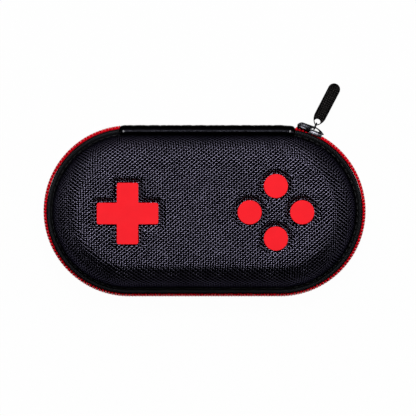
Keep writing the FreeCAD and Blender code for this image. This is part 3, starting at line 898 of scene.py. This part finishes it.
def coverSection(inset, count=12):
    # Padded roll from the lid's wall, up over a crest, out over the joint and back to the base's wall
    crest = hinge["crestRadius"]
    outer = case["hingeRadius"] - inset
    top = hinge["crest"] - inset
    foot = wallOutside(hinge["seam"]) + hinge["proud"]
    upper = []
    for t in np.linspace(-math.pi / 2, 0, 6)[:-1]:
        rise = (top - hinge["seam"]) * math.cos(t)
        upper.append((crest + (crest - foot) * math.sin(t), hinge["seam"] + rise))
    for t in np.linspace(0, math.pi / 2, count + 1):
        rise = (top - hinge["flat"]) * math.cos(t)
        upper.append((crest + (outer - crest) * math.sin(t), hinge["flat"] + rise))
    return np.array(upper + [(r, -z) for r, z in upper[::-1]])


def makeHingeCover():
    path = stations("hinge", *hinge["steps"], math.degrees(hinge["endOverlap"] / case["hingeRadius"]))
    sections = (coverSection(0), coverSection(hinge["thickness"]))
    reference = case["hingeRadius"]
    walk = travelled(np.stack([path[:, 0] + path[:, 1] * reference, path[:, 2] * reference], 1))
    vertices = []
    for (centre, outX, outY), here in zip(path, walk):
        # The ends close in a rounded fold
        share = min(min(here, walk[-1] - here) / hinge["endRound"], 1.0)
        swell = math.sqrt(max(1 - (1 - share) ** 2, 0))
        puff = swell * (1 - hinge["endPuff"]) + hinge["endPuff"]
        waves = [math.sin(here * rate + start) * part for rate, start, part in hinge["puckerWaves"]]
        ripple = abs(hinge["pucker"] * sum(waves))
        for section in sections:
            base = np.array([wallOutside(abs(z)) + hinge["proud"] for z in section[:, 1]])
            lifted = section[:, 0] - base
            radius = base + lifted * puff - np.clip(lifted / hinge["puckerLift"], 0, 1) * ripple
            height = section[:, 1] * (hinge["endNarrow"] + (1 - hinge["endNarrow"]) * puff)
            vertices.append(np.stack([centre + outX * radius, outY * radius, height + case["parting"]], 1))
    grid = np.concatenate(vertices)
    index = np.arange(len(grid)).reshape(len(path), 2, -1)
    place = travelled(sections[0])
    # Outside, inside, the two long edges, and the ends where the cloth folds in on itself
    sheets = [gridFaces(index[:, 0], walk, place, (0, 3, 2, 1)), gridFaces(index[:, 1], walk, place)]
    sheets += [gridFaces(index[:, :, edge], walk, (0, 1)) for edge in (0, -1)]
    sheets += [gridFaces(index[end], (0, 1), place, (0, 3, 2, 1)) for end in (0, -1)]
    faces = sum((sheet[0] for sheet in sheets), [])
    uvs = sum((sheet[1] for sheet in sheets), [])
    thing = buildObject("hingeCover", grid, faces, uvs, [finish["hinge"]])
    tidyMesh(thing)
    sharpenAt(thing, 60)
    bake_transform(thing)
    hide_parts("hinge_cover")
    return thing


hingeCover = makeHingeCover()

lining = {"sag": 0.35, "thickness": 0.8, "heights": (7.4, 3.6, 1.8), "steps": (2.0, 2.5)}


def makeHingeLining():
    gap = case["rimGap"]
    top = gap + tape["seam"]
    seatTop = wallInside(top) - tape["sewn"]
    seatLow = wallInside(gap) - tape["sewn"]
    high, middle, low = lining["heights"]
    upper = [top, high, gap, middle, low]
    front = []
    for z in upper + [0] + [-z for z in upper[::-1]]:
        share = min(max((abs(z) - gap) / tape["seam"], 0), 1)
        sag = lining["sag"] * math.cos(min(abs(z) / gap, 1) * math.pi / 2)
        front.append((seatLow + (seatTop - seatLow) * share - sag, z))
    back = [(r - lining["thickness"], z) for r, z in front[::-1]]
    path = stations("hinge", *lining["steps"])[1:-1]
    thing = buildObject("hingeLining", *sweepProfile(path, front + back, False), [finish["lining"]])
    tidyMesh(thing)
    sharpenAt(thing, 50)
    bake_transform(thing)
    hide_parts("hinge_lining")
    return thing


hingeLining = makeHingeLining()
report("hinge built")


# Binding over the raw edges inside both rims

binding = {"wrap": 0.8, "thickness": 1.0, "steps": (2.4, 3.0)}


def bindingProfile():
    seamTop = case["rimGap"] + tape["seam"]
    low = case["rimGap"] - tape["sewn"]
    rise = seamTop + tape["sewn"]
    high = rise + binding["wrap"]
    layers = 2 * tape["sewn"] + tape["thickness"]
    innerLow = wallInside(low) - layers - binding["thickness"]
    innerHigh = wallInside(high) - layers - binding["thickness"]
    outerHigh = wallInside(high) - tape["sewn"]
    outer = [
        (wallInside(low) - layers, low + 0.25),
        (wallInside(rise) - layers, rise),
        (wallInside(rise) - tape["sewn"], rise),
        (outerHigh, high - 0.2),
        (outerHigh - 0.4, high),
    ]
    inner = [(innerHigh + 0.5, high), (innerHigh + 0.12, high - 0.15), (innerHigh, high - 0.5)]
    inner += [(innerHigh + (innerLow - innerHigh) * t, high + (low - high) * t) for t in (0.3, 0.5, 0.7)]
    inner += [(innerLow, low + 0.4), (innerLow + 0.15, low + 0.1), (innerLow + 0.45, low)]
    return outer + inner


for body, mirror in halves:
    bindingGrid = sweepProfile(stations("all", *binding["steps"]), bindingProfile(), True, mirror)
    thing = buildObject(body + "Binding", *bindingGrid, [finish["binding"]])
    finishPiece(thing, body, body + "_inner_binding")


# Stitches: small rounded dashes of thread laid along a seam

def stitchTemplate():
    work = bmesh.new()
    bmesh.ops.create_uvsphere(work, u_segments=8, v_segments=6, radius=1.0)
    points, faces = templateData(work)
    return points[:, [2, 0, 1]], faces


stitchShape = stitchTemplate()
stitch = {"arch": 0.4, "twist": 0.8}


def layStitches(name, places, size, body, material=finish["thread"]):
    # places holds (point, direction along the seam, direction out of the cloth)
    pattern, patternFaces = stitchShape
    length, width, rise = size
    vertices = []
    faces = []
    uvs = []
    for number, (point, along, out) in enumerate(places):
        along = np.array(along) / np.linalg.norm(along)
        out = np.array(out) / np.linalg.norm(out)
        scaled = pattern * [length / 2, width / 2, rise]
        arched = scaled[:, 2] + rise * stitch["arch"] * (1 - pattern[:, 0] ** 2)
        flat = np.array(point) + np.outer(scaled[:, 0], along) + np.outer(scaled[:, 1], np.cross(out, along))
        vertices.append(flat + np.outer(arched, out))
        slanted = scaled[:, 0] + scaled[:, 1] * stitch["twist"] + number
        for face in patternFaces:
            faces.append([number * len(pattern) + i for i in face])
            uvs.append([(slanted[i], scaled[i, 1]) for i in face])
    thing = buildObject(name, np.concatenate(vertices), faces, uvs, [material])
    tidyMesh(thing, 1e-8)
    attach(thing, body)


def seamPlaces(run, radius, look, slant, mirror):
    # Evenly spaced places along the outline at one height
    path = stations(run, 1.0, 1.0)
    heights = np.full(len(path), case["parting"] + mirror * look["height"])
    line = np.stack([path[:, 0] + path[:, 1] * radius, path[:, 2] * radius, heights], 1)
    walk = travelled(line[:, :2])
    count = int(walk[-1] / look["spacing"])
    places = []
    for spot in (np.arange(count) + 0.5) * walk[-1] / count:
        k = min(int(np.searchsorted(walk, spot)), len(walk) - 1)
        share = (spot - walk[k - 1]) / max(walk[k] - walk[k - 1], 1e-9)
        row = path[k - 1] + (path[k] - path[k - 1]) * share
        direction = np.array([row[1], row[2], 0.0])
        direction /= np.linalg.norm(direction)
        along = line[k] - line[k - 1]
        out = direction * math.cos(slant) + np.array([0, 0, mirror * math.sin(slant)])
        places.append((line[k - 1] + along * share, along, out))
    return places


tapeSeam = {"height": 7.3, "spacing": 3.2, "size": (2.5, 0.42, 0.14)}  # size is length, width and rise
bindingSeam = {"height": 7.6, "spacing": 3.0, "size": (2.3, 0.4, 0.12)}
tacks = {"x": (-40.2, 42.4), "y": 39.7, "sink": 0.02, "size": (1.3, 1.0, 0.5)}

for body, mirror in halves:
    places = seamPlaces("zipper", wallOutside(tapeSeam["height"]), tapeSeam, case["draft"], mirror)
    layStitches(body + "SeamStitches", places, tapeSeam["size"], body)
bindingDepth = 2 * tape["sewn"] + tape["thickness"] + binding["thickness"]
bindingRadius = wallInside(bindingSeam["height"]) - bindingDepth
for body, mirror in halves:
    places = seamPlaces("all", bindingRadius, bindingSeam, 0.0, mirror)
    places = [(point, along, -out) for point, along, out in places]
    layStitches(body + "BindingStitches", places, bindingSeam["size"], body)
# Small bar tacks hold the cover's two ends; their pale thread is a painted highlight, for the glints at the
# cover's ends
tackHeight = case["parting"] + hinge["crest"] - tacks["sink"]
places = [((x, tacks["y"], tackHeight), (0, 1, 0), (0, 0, 1)) for x in tacks["x"]]
layStitches("hingeTacks", places, tacks["size"], "lid", finish["tack"])
report("seams stitched")


# Net pocket in the lid and its elastic hem

pocket = {
    "height": 7.6,
    "cell": 1.35,
    "strand": 0.2,
    "shortest": 0.05,
    "rows": (-26, 14),
    "columns": (-36, 37),
    "sag": 0.5,
    "sagWaves": (0.09, 0.13, 1.2),
    "hemY": 12.0,
    "hemWidth": 8.0,
    "hemThickness": 1.6,
    "underHem": 0.6,
}
pocketRim = wallInside(case["rimGap"] + tape["seam"] + binding["wrap"])
pocketReach = pocketRim - 4 * tape["sewn"] - tape["thickness"] - binding["thickness"]


def insidePocket(x, y):
    ends = max(abs(x) - case["endCentre"], 0)
    return math.hypot(ends, y) < pocketReach and y < pocket["hemY"] + pocket["underHem"]


def netEdges():
    # Open knit of six-sided cells
    side = pocket["cell"]
    stepX = side * math.sqrt(3)
    edges = set()
    points = {}
    for row in range(*pocket["rows"]):
        for column in range(*pocket["columns"]):
            middleX = column * stepX + (row % 2) * stepX / 2
            middleY = row * side * 1.5
            ring = []
            for k in range(6):
                angle = math.radians(60 * k + 30)
                x = middleX + side * math.cos(angle)
                y = middleY + side * math.sin(angle)
                ring.append((round(x, 3), round(y, 3)))
                points[ring[-1]] = (x, y)
            for k in range(6):
                edges.add(tuple(sorted((ring[k], ring[(k + 1) % 6]))))
    return [(np.array(points[start]), np.array(points[stop])) for start, stop in sorted(edges)]


def trimmed(kept, lost):
    # Shortens a strand whose far end lies outside the pocket
    low, high = 0.0, 1.0
    for _ in range(12):
        middle = (low + high) / 2
        if insidePocket(*(kept + (lost - kept) * middle)):
            low = middle
        else:
            high = middle
    return kept, kept + (lost - kept) * low


def makeNet():
    vertices = []
    faces = []
    uvs = []
    half = pocket["strand"] / 2
    rateX, rateY, startY = pocket["sagWaves"]
    strandIndex = np.array([[0, 1, 2, 3, 0], [4, 5, 6, 7, 4]])
    for a, b in netEdges():
        insideA = insidePocket(*a)
        insideB = insidePocket(*b)
        if not insideA and not insideB:
            continue
        if insideA != insideB:
            a, b = trimmed(a, b) if insideA else trimmed(b, a)
        length = np.linalg.norm(b - a)
        if length < pocket["shortest"]:
            continue
        along = (b - a) / length
        shiftX, shiftY = np.array([-along[1], along[0]]) * half
        offset = len(vertices)
        for x, y in (a - along * half * 0.6, b + along * half * 0.6):
            height = pocket["height"] + pocket["sag"] * math.sin(x * rateX) * math.sin(y * rateY + startY)
            vertices += [(x + shiftX, y + shiftY, height), (x, y, height + half)]
            vertices += [(x - shiftX, y - shiftY, height), (x, y, height - half)]
        sides, sideUvs = gridFaces(strandIndex + offset, (0, pocket["cell"]), range(5), (0, 3, 2, 1))
        faces += sides + [[offset + k for k in (3, 2, 1, 0)], [offset + k for k in (4, 5, 6, 7)]]
        uvs += sideUvs + [[(0, 0)] * 4] * 2
    lifted = np.array(vertices) + [0, 0, case["parting"]]
    thing = buildObject("pocketNet", lifted, faces, uvs, [finish["net"]])
    tidyMesh(thing, 1e-9)
    assign(thing, "lid", "mesh_pocket")


makeNet()


band = {"ripples": (2.6, 0.31, 1.3), "closing": 0.1}


def bandMesh(name, size, centre, step, material, ripple=0.0, corner=0.0):
    # Flat band along X with rounded long edges; size is length, width and thickness
    halfX, halfY, rounding = (value / 2 for value in size)
    flat = halfY - rounding
    upper = []
    for angle in np.radians(np.linspace(-90, 90, 7)):
        upper.append((flat + rounding * math.cos(angle), rounding * math.sin(angle)))
    upper += [(y, rounding) for y in np.linspace(flat, -flat, 12)[1:-1]]
    loop = np.array(upper + [(-y, -z) for y, z in upper])
    spots = np.linspace(-halfX, halfX, max(int(2 * halfX / step), 2) + 1)
    fast, slow, start = band["ripples"]
    vertices = []
    for x in spots:
        fromCorner = corner - min(halfX - abs(x), corner)
        inset = corner - math.sqrt(max(corner ** 2 - fromCorner ** 2, 0))
        narrow = 1 - inset / halfY
        wave = ripple * math.sin(x * fast) * math.sin(x * slow + start)
        for y, z in loop:
            lift = wave * (1 - (y / halfY) ** 2)
            vertices.append((centre[0] + x, centre[1] + y * narrow, centre[2] + z + lift))
    index = np.arange(len(vertices)).reshape(len(spots), -1)
    place = travelled(loop)
    place = np.append(place, place[-1] + band["closing"])
    faces, uvs = gridFaces(np.append(index, index[:, :1], 1), spots, place)
    for ring, turn in zip(index[[0, -1]], (-1, 1)):
        faces.append(ring[::turn])
        uvs.append(loop[::turn])
    return buildObject(name, vertices, faces, uvs, [material])


hem = {
    "clear": 0.1,
    "step": 0.45,
    "ripple": 0.22,
    "seamOut": 2.7,
    "seamSink": 0.82,
    "spacing": 2.6,
    "size": (1.9, 0.36, 0.12),
}
hemY = pocket["hemY"] + pocket["hemWidth"] / 2
hemHalf = case["endCentre"] + math.sqrt(pocketReach ** 2 - (pocket["hemY"] + pocket["hemWidth"]) ** 2)
hemHeight = case["parting"] + pocket["height"]
hemSize = (2 * (hemHalf - hem["clear"]), pocket["hemWidth"], pocket["hemThickness"])
hemPlace = (0, hemY, hemHeight)
pocketHem = bandMesh("pocketHem", hemSize, hemPlace, hem["step"], finish["elastic"], hem["ripple"])
finishPiece(pocketHem, "lid", "mesh_pocket_hem")
places = []
for y in (hemY - hem["seamOut"], hemY + hem["seamOut"]):
    for x in np.arange(-hemHalf + 2.0, hemHalf - 1.0, hem["spacing"]):
        places.append(((x, y, hemHeight - hem["seamSink"]), (1, 0, 0), (0, 0, -1)))
layStitches("hemStitches", places, hem["size"], "lid")


# Elastic strap across the base's floor

strap = {
    "width": 24.0,
    "length": 52.0,
    "thickness": 1.2,
    "low": 2.35,
    "step": 0.9,
    "patchLength": 7.0,
    "patchThickness": 0.8,
    "patchStep": 0.4,
    "patchCorner": 1.2,
    "seamIn": (1.6, 1.3),
    "spacing": 2.2,
    "size": (1.7, 0.36, 0.11),
}
strapTop = strap["low"] + strap["thickness"]
strapSize = (strap["length"], strap["width"], strap["thickness"])
strapPlace = (0, 0, strap["low"] + strap["thickness"] / 2)
strapBand = bandMesh("strapBand", strapSize, strapPlace, strap["step"], finish["elastic"])
strapBand.data.transform(Matrix.Rotation(math.pi / 2, 4, "Z"))
finishPiece(strapBand, "base", "hold_down_strap")


def makeStrapEnd(name, node, side):
    middle = side * (strap["length"] - strap["patchLength"]) / 2
    thick = strap["patchThickness"]
    size = (strap["width"], strap["patchLength"], thick)
    end = bandMesh(name, size, (0, middle, strapTop + thick / 2), strap["patchStep"], finish["binding"],
                   corner=strap["patchCorner"])
    finishPiece(end, "base", node)
    # Stitched round the edge and along both diagonals
    halfX = strap["width"] / 2 - strap["seamIn"][0]
    halfY = strap["patchLength"] / 2 - strap["seamIn"][1]
    across = np.arange(-halfX + 1.0, halfX, strap["spacing"])
    marks = [(x, y, (1, 0)) for y in (-halfY, halfY) for x in across]
    marks += [(x, y, (0, 1)) for x in (-halfX, halfX) for y in (-halfY + 0.9, halfY - 0.9)]
    for slope in (1, -1):
        for t in np.linspace(-0.86, 0.86, 9):
            marks.append((t * halfX, slope * t * halfY, (halfX, slope * halfY)))
    places = [((x, middle + y, strapTop + thick), (*along, 0), (0, 0, 1)) for x, y, along in marks]
    layStitches(name + "Stitches", places, strap["size"], "base")


makeStrapEnd("strapEndBack", "strap_patch_back", 1)
makeStrapEnd("strapEndFront", "strap_patch_front", -1)
report("inside built")


# Slider. X runs along the zipper away from the hinge, Y outwards, Z up.

slider = {
    "length": 13.4,
    "noseHalf": 4.3,
    "tailHalf": 3.95,
    "corner": 1.4,
    "outerPlate": 0.65,
    "innerPlate": 1.1,
    "innerShort": 0.6,
    "innerHalf": 3.0,
    "clearance": 0.3,
    "flange": 0.8,
    "flangeStart": -0.8,
    "lipFrom": 4.25,
    "lipTo": 4.9,
    "lipRun": (-6.9, -0.4),
    "lipReach": 0.75,
    "boxRound": 0.2,
    "bevel": 0.2,
    "flangeBevel": 0.3,
    "innerBevel": 0.25,
    "sink": 0.05,  # flanges end this far inside the plate
    "neckSink": 0.1,
    "nose": -7.2,
    "neck": [(-5.4, -0.26), (-4.65, -0.75), (-2.9, -0.11), (-2.9, 0.11), (-4.65, 0.75), (-5.4, 0.26)],
    "crownWide": 0.95,
    "crownOpening": 1.05,
    "crownSeat": 0.25,
    "openingFrom": -0.3,
    "openingTo": 4.5,
    "crownLine": [(-7.1, -0.3), (-6.8, 0.6), (-5.8, 1.4), (-4.6, 1.66), (-2.5, 1.7), (-0.5, 1.76),
                  (1.2, 1.78), (2.8, 1.6), (4.4, 1.15), (5.8, 0.45), (6.5, -0.3)],
}
plateLow = case["tapeRadius"] + teeth["seat"] + teeth["depth"] + slider["clearance"]
plateTop = plateLow + slider["outerPlate"]


def roundedOutline(corners, radius, count=5):
    # Points of a polygon with rounded corners
    points = []
    total = len(corners)
    for k, corner in enumerate(corners):
        here = np.array(corner)
        before = np.array(corners[k - 1]) - here
        after = np.array(corners[(k + 1) % total]) - here
        before /= np.linalg.norm(before)
        after /= np.linalg.norm(after)
        half = math.acos(np.clip(before @ after, -1, 1)) / 2
        start = here + before * radius / math.tan(half)
        stop = here + after * radius / math.tan(half)
        bisector = (before + after) / np.linalg.norm(before + after)
        centre = here + bisector * radius / math.sin(half)
        a0 = math.atan2(*(start - centre)[::-1])
        a1 = math.atan2(*(stop - centre)[::-1])
        turn = (a1 - a0 + math.pi) % (2 * math.pi) - math.pi
        for t in np.linspace(0, 1, count + 1):
            angle = a0 + turn * t
            points.append(tuple(centre + radius * np.array([math.cos(angle), math.sin(angle)])))
    return points


def boxOutline(left, right, low, high, radius, count=5):
    return roundedOutline([(left, low), (right, low), (right, high), (left, high)], radius, count)


def smoothLine(points, count):
    # Points along a curve that passes through every given point
    given = [np.array(p, float) for p in points]
    given = [2 * given[0] - given[1]] + given + [2 * given[-1] - given[-2]]
    line = []
    for k in range(1, len(given) - 2):
        a, b, c, d = given[k - 1:k + 3]
        for t in np.linspace(0, 1, count + 1)[:-1]:
            squared = (2 * a - 5 * b + 4 * c - d) * t ** 2
            line.append(0.5 * (2 * b + (c - a) * t + squared + (3 * b - a - 3 * c + d) * t ** 3))
    line.append(given[-2])
    return [tuple(point) for point in line]


def skinRings(work, rings):
    # Quads from each ring of vertices to the next
    for a, b in zip(rings[:-1], rings[1:]):
        for k in range(len(a)):
            m = (k + 1) % len(a)
            work.faces.new([a[k], a[m], b[m], b[k]])


def prism(work, outline, low, high, place, bevel, segments=2):
    # Extrudes an outline and rounds its edges; place maps (x, y, height) to the slider's axes
    bottom = [work.verts.new(place(x, y, low)) for x, y in outline]
    top = [work.verts.new(place(x, y, high)) for x, y in outline]
    ends = [work.faces.new(bottom[::-1]), work.faces.new(top)]
    skinRings(work, [bottom, top])
    rims = list({edge for face in ends for edge in face.edges})
    if bevel:
        bmesh.ops.bevel(work, geom=rims, offset=bevel, segments=segments, profile=0.5, affect="EDGES")


def placed(work, angle, spot):
    turn = Matrix.Translation(spot) @ Matrix.Rotation(math.radians(angle), 4, "Z")
    bmesh.ops.transform(work, matrix=Matrix.Scale(mm, 4) @ turn, verts=work.verts)


def meshFromWork(name, work, material, body, node, angle):
    mesh = bpy.data.meshes.new(name)
    work.to_mesh(mesh)
    work.free()
    if not mesh.uv_layers:
        mesh.uv_layers.new(name=clothMap)
    mesh.materials.append(material)
    thing = linkMesh(name, mesh)
    sharpenAt(thing, angle)
    assign(thing, body, node)
    return thing


def crownOutline():
    # The crown's cover is solid towards the nose; the link passes through the opening behind it
    arch = [(x, plateTop + y) for x, y in smoothLine(slider["crownLine"], 4)]
    middle = (slider["openingFrom"] + slider["openingTo"]) / 2
    reach = (slider["openingTo"] - slider["openingFrom"]) / 2
    rise = slider["crownOpening"] + slider["crownSeat"]
    radius = (reach ** 2 + rise ** 2) / (2 * rise)
    spread = math.asin(min(reach / radius, 1.0))
    low = plateTop + slider["crownOpening"] - radius
    for t in np.linspace(spread, -spread, 15):
        arch.append((middle + radius * math.sin(t), low + radius * math.cos(t)))
    return arch


def makeSlider():
    work = bmesh.new()
    half = slider["length"] / 2
    rounding = slider["boxRound"]
    sunk = plateTop - slider["sink"]

    def upright(x, y, height):
        return (x, height, y)

    def flat(x, y, height):
        return (x, y, height)

    plate = [(slider["nose"], -slider["noseHalf"]), (half, -slider["tailHalf"]),
             (half, slider["tailHalf"]), (slider["nose"], slider["noseHalf"])]
    prism(work, roundedOutline(plate, slider["corner"]), plateLow, plateTop, upright, slider["bevel"])
    for side in (-1, 1):
        inner, outer = sorted((side * slider["tailHalf"], side * (slider["tailHalf"] - slider["flange"])))
        box = boxOutline(slider["flangeStart"], half - slider["corner"] / 2, inner, outer, rounding, 2)
        before = set(work.faces)
        prism(work, box, case["tapeRadius"] + slider["clearance"], sunk, upright, slider["flangeBevel"], 3)
        # The flanges take the paler nickel, a painted highlight for the glint on the slider's body
        for face in set(work.faces) - before:
            face.material_index = 1
        # Towards the nose the flange stands clear of the spread rows
        low, high = sorted((side * slider["lipFrom"], side * slider["lipTo"]))
        box = boxOutline(*slider["lipRun"], low, high, rounding, 2)
        prism(work, box, case["tapeRadius"] + slider["lipReach"], sunk, upright, slider["bevel"])
    innerLong = half - slider["innerShort"]
    innerRadius = case["tapeRadius"] - tape["thickness"] - slider["clearance"]
    innerTop = math.sqrt(innerRadius ** 2 - innerLong ** 2)
    innerLow = innerTop - slider["innerPlate"]
    box = boxOutline(-innerLong, innerLong, -slider["innerHalf"], slider["innerHalf"], slider["corner"])
    prism(work, box, innerLow, innerTop, upright, slider["innerBevel"])
    prism(work, slider["neck"], innerLow + slider["neckSink"], plateTop - slider["neckSink"], upright, 0)
    prism(work, crownOutline(), -slider["crownWide"], slider["crownWide"], flat, slider["bevel"], 3)
    bmesh.ops.recalc_face_normals(work, faces=work.faces)
    placed(work, case["sliderAngle"] - 90, (case["endCentre"], 0, case["parting"]))
    thing = meshFromWork("zipSlider", work, finish["metal"], "slider", "zip_slider", 40)
    thing.data.materials.append(finish["paleMetal"])


makeSlider()

link = {"place": 1.35, "wire": 0.42, "length": 3.1, "halfHeight": 1.75, "corner": 0.75, "sides": 12}
linkRadius = plateTop + slider["crownOpening"] / 2
linkAngle = case["sliderAngle"] - math.degrees(link["place"] / linkRadius)


def polar(radius):
    turn = math.radians(linkAngle)
    return Vector((case["endCentre"] + radius * math.cos(turn), radius * math.sin(turn), case["parting"]))


def makeLink():
    path = boxOutline(0, link["length"], -link["halfHeight"], link["halfHeight"], link["corner"], 6)
    work = bmesh.new()
    rings = []
    for k, here in enumerate(path):
        tangent = np.array(path[(k + 1) % len(path)]) - np.array(path[k - 1])
        tangent /= np.linalg.norm(tangent)
        outward = np.array([tangent[1], -tangent[0]])
        ring = []
        for angle in np.linspace(0, 2 * math.pi, link["sides"] + 1)[:-1]:
            x, z = here + outward * math.cos(angle) * link["wire"]
            ring.append(work.verts.new((x, math.sin(angle) * link["wire"], z)))
        rings.append(ring)
    skinRings(work, rings + rings[:1])
    bmesh.ops.recalc_face_normals(work, faces=work.faces)
    placed(work, linkAngle, polar(linkRadius))
    meshFromWork("pullLink", work, finish["metal"], "link", "pull_link", 60)


makeLink()

tab = {
    "direction": 62.7,
    "length": 22.0,
    "halfWidth": 3.05,
    "footEnd": 1.08,
    "footAngle": 120.0,
    "footPull": (0.9, 2.6),
    "neck": (3.6, 3.0),
    "thickness": 1.9,
    "round": 0.45,
    "eyePlace": 0.9,
    "eyeLong": 1.4,
    "eyeWide": 1.55,
    "eyeRound": 0.25,
    "rimStart": 0.6,
    "rimInset": 0.75,
    "rimWidth": 0.32,
    "rimRise": 0.16,
    "rimTuck": 0.35,  # how far past level the bead's sides turn in
}


def normals(outline):
    # Direction to the right of the walk at each point
    ahead = np.roll(outline, -1, 0) - np.roll(outline, 1, 0)
    ahead /= np.linalg.norm(ahead, axis=1)[:, None]
    return np.stack([ahead[:, 1], -ahead[:, 0]], 1)


def tabOutline(inset):
    # Outline with a rounded foot at the link, moved inwards by the inset
    half = tab["halfWidth"]
    end = tab["length"] - half
    points = []
    for angle in np.radians(np.linspace(180, tab["footAngle"], 6)):
        points.append((tab["footEnd"] * math.cos(angle), tab["footEnd"] * math.sin(angle)))
    a, b, c = (np.array(point) for point in (points[-1], tab["footPull"], tab["neck"]))
    for t in np.linspace(0, 1, 10)[1:]:
        points.append(tuple(a * (1 - t) ** 2 + 2 * b * t * (1 - t) + c * t ** 2))
    for share in np.linspace(0, 1, 14)[1:]:
        points.append(tuple(c + (np.array([end, half]) - c) * share))
    points += arcPoints((end, 0), half, 90, 0, 12)[1:]
    ring = np.array(points + [(x, -y) for x, y in points[-2:0:-1]])
    return ring + normals(ring) * inset


def eyeOutline(grow):
    # Oval hole that the link's far bar passes through
    long = tab["eyeLong"] + grow
    wide = tab["eyeWide"] + grow
    angles = np.linspace(math.pi, -math.pi, 33)[:-1]
    return [(tab["eyePlace"] + long * math.cos(angle), wide * math.sin(angle)) for angle in angles]


def edgeRings(work, outline, half, bend, count):
    # Rings down a rounded edge, from the lower face to the upper one
    rings = []
    for t in np.linspace(-90, 90, count):
        angle = math.radians(t)
        height = math.copysign(half - bend, t) + bend * math.sin(angle) if t else 0.0
        rings.append([work.verts.new((x, y, height)) for x, y in outline(bend * (1 - math.cos(angle)))])
    skinRings(work, rings)
    return rings


def makeTab():
    work = bmesh.new()
    half = tab["thickness"] / 2
    outerRings = edgeRings(work, tabOutline, half, tab["round"], 9)
    eyeRings = edgeRings(work, eyeOutline, half, tab["eyeRound"], 7)
    for level in (0, -1):
        rim = []
        for ring in (outerRings[level], eyeRings[level]):
            rim += [work.edges.get((ring[k - 1], ring[k])) for k in range(len(ring))]
        bmesh.ops.triangle_fill(work, edges=rim, use_beauty=True)
    # A raised bead runs round both faces
    outline = tabOutline(tab["rimInset"])
    rightward = normals(outline)
    keep = [k for k in range(len(outline)) if outline[k][0] > tab["neck"][0] + tab["rimStart"]]
    for side in (-1, 1):
        rings = []
        for k in keep:
            ring = []
            for angle in np.linspace(-tab["rimTuck"], math.pi + tab["rimTuck"], 7):
                x, y = outline[k] + rightward[k] * math.cos(angle) * tab["rimWidth"]
                ring.append(work.verts.new((x, y, side * (half + math.sin(angle) * tab["rimRise"]))))
            rings.append(ring)
        skinRings(work, rings)
        for ring in (rings[0], rings[-1]):
            work.faces.new(ring)
    bmesh.ops.recalc_face_normals(work, faces=work.faces)
    uvLayer = work.loops.layers.uv.new(clothMap)
    for face in work.faces:
        for loop in face.loops:
            loop[uvLayer].uv = (loop.vert.co.x, loop.vert.co.y)
    placed(work, tab["direction"], polar(linkRadius + link["length"]))
    meshFromWork("pullTab", work, finish["tab"], "tab", "pull_tab", 50)


makeTab()
report("slider, link and pull built")

# Floor, light and camera

stageLook = {"floor": (0.6, 0.6, 0.6), "floorZ": -0.0002, "glow": 0.98, "ambient": 0.012}


def makeFloor():
    bpy.ops.mesh.primitive_plane_add(size=30, location=(0, 0, stageLook["floorZ"]))
    floor = bpy.context.object
    floor.name = "floor"
    material, tree, shader = newMaterial("paleFloor")
    setShader(shader, Base_Color=stageLook["floor"], Roughness=0.9, Specular_IOR_Level=0.1)
    rays = addNode(tree, "ShaderNodeLightPath").outputs
    seen = maths(tree, "MAXIMUM", rays["Is Camera Ray"], rays["Is Glossy Ray"])
    seen = maths(tree, "MAXIMUM", seen, rays["Is Transmission Ray"])
    glow = addNode(tree, "ShaderNodeEmission", {"Color": (1, 1, 1, 1), "Strength": 1.0})
    share = maths(tree, "MULTIPLY", seen, stageLook["glow"])
    mixed = addNode(tree, "ShaderNodeMixShader", {0: share, 1: shader.outputs[0], 2: glow.outputs[0]})
    tree.links.new(mixed.outputs[0], tree.nodes["Material Output"].inputs["Surface"])
    floor.data.materials.append(material)


makeFloor()

world = bpy.data.worlds.new("studio")
bpy.context.scene.world = world
world.use_nodes = True
setShader(world.node_tree.nodes["Background"], Color=(1, 1, 1), Strength=stageLook["ambient"])

lamps = {
    "key": {"place": (0.06, 0.31, 1.19), "size": (0.34, 0.34), "power": 10.2},
    "back": {"place": (-0.1, 1.0, 0.7), "size": (0.8, 0.4), "power": 2.7},
    "left": {"place": (-0.9, 0.2, 0.85), "size": (0.4, 0.4), "power": 3.0},
    "right": {"place": (0.9, 0.2, 0.85), "size": (0.4, 0.4), "power": 3.0},
}
lampTarget = (0, 0.01, 0.03)


def makeLamp(name, look):
    light = bpy.data.lights.new(name, "AREA")
    light.shape = "RECTANGLE"
    light.size, light.size_y = look["size"]
    light.energy = look["power"]
    lamp = bpy.data.objects.new(name, light)
    lamp.location = look["place"]
    aim = Vector(lampTarget) - lamp.location
    lamp.rotation_euler = aim.to_track_quat("-Z", "Y").to_euler()
    lamp.visible_camera = False
    bpy.context.scene.collection.objects.link(lamp)


for name, look in lamps.items():
    makeLamp(name, look)

view = {"tilt": 2.0, "distance": 6.0, "target": (0.0017, 0.0014, 0.024), "width": 0.2065, "sensor": 36}


def makeCamera():
    camera = bpy.data.cameras.new("camera")
    camera.sensor_width = view["sensor"]
    camera.lens = view["sensor"] * view["distance"] / view["width"]
    thing = bpy.data.objects.new("camera", camera)
    tilt = math.radians(view["tilt"])
    target = Vector(view["target"])
    thing.location = target + view["distance"] * Vector((0, math.sin(tilt), math.cos(tilt)))
    thing.rotation_euler = (-tilt, 0, 0)
    bpy.context.scene.collection.objects.link(thing)
    bpy.context.scene.camera = thing


makeCamera()
bpy.context.scene.view_settings.view_transform = "Standard"

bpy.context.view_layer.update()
report("stage set")
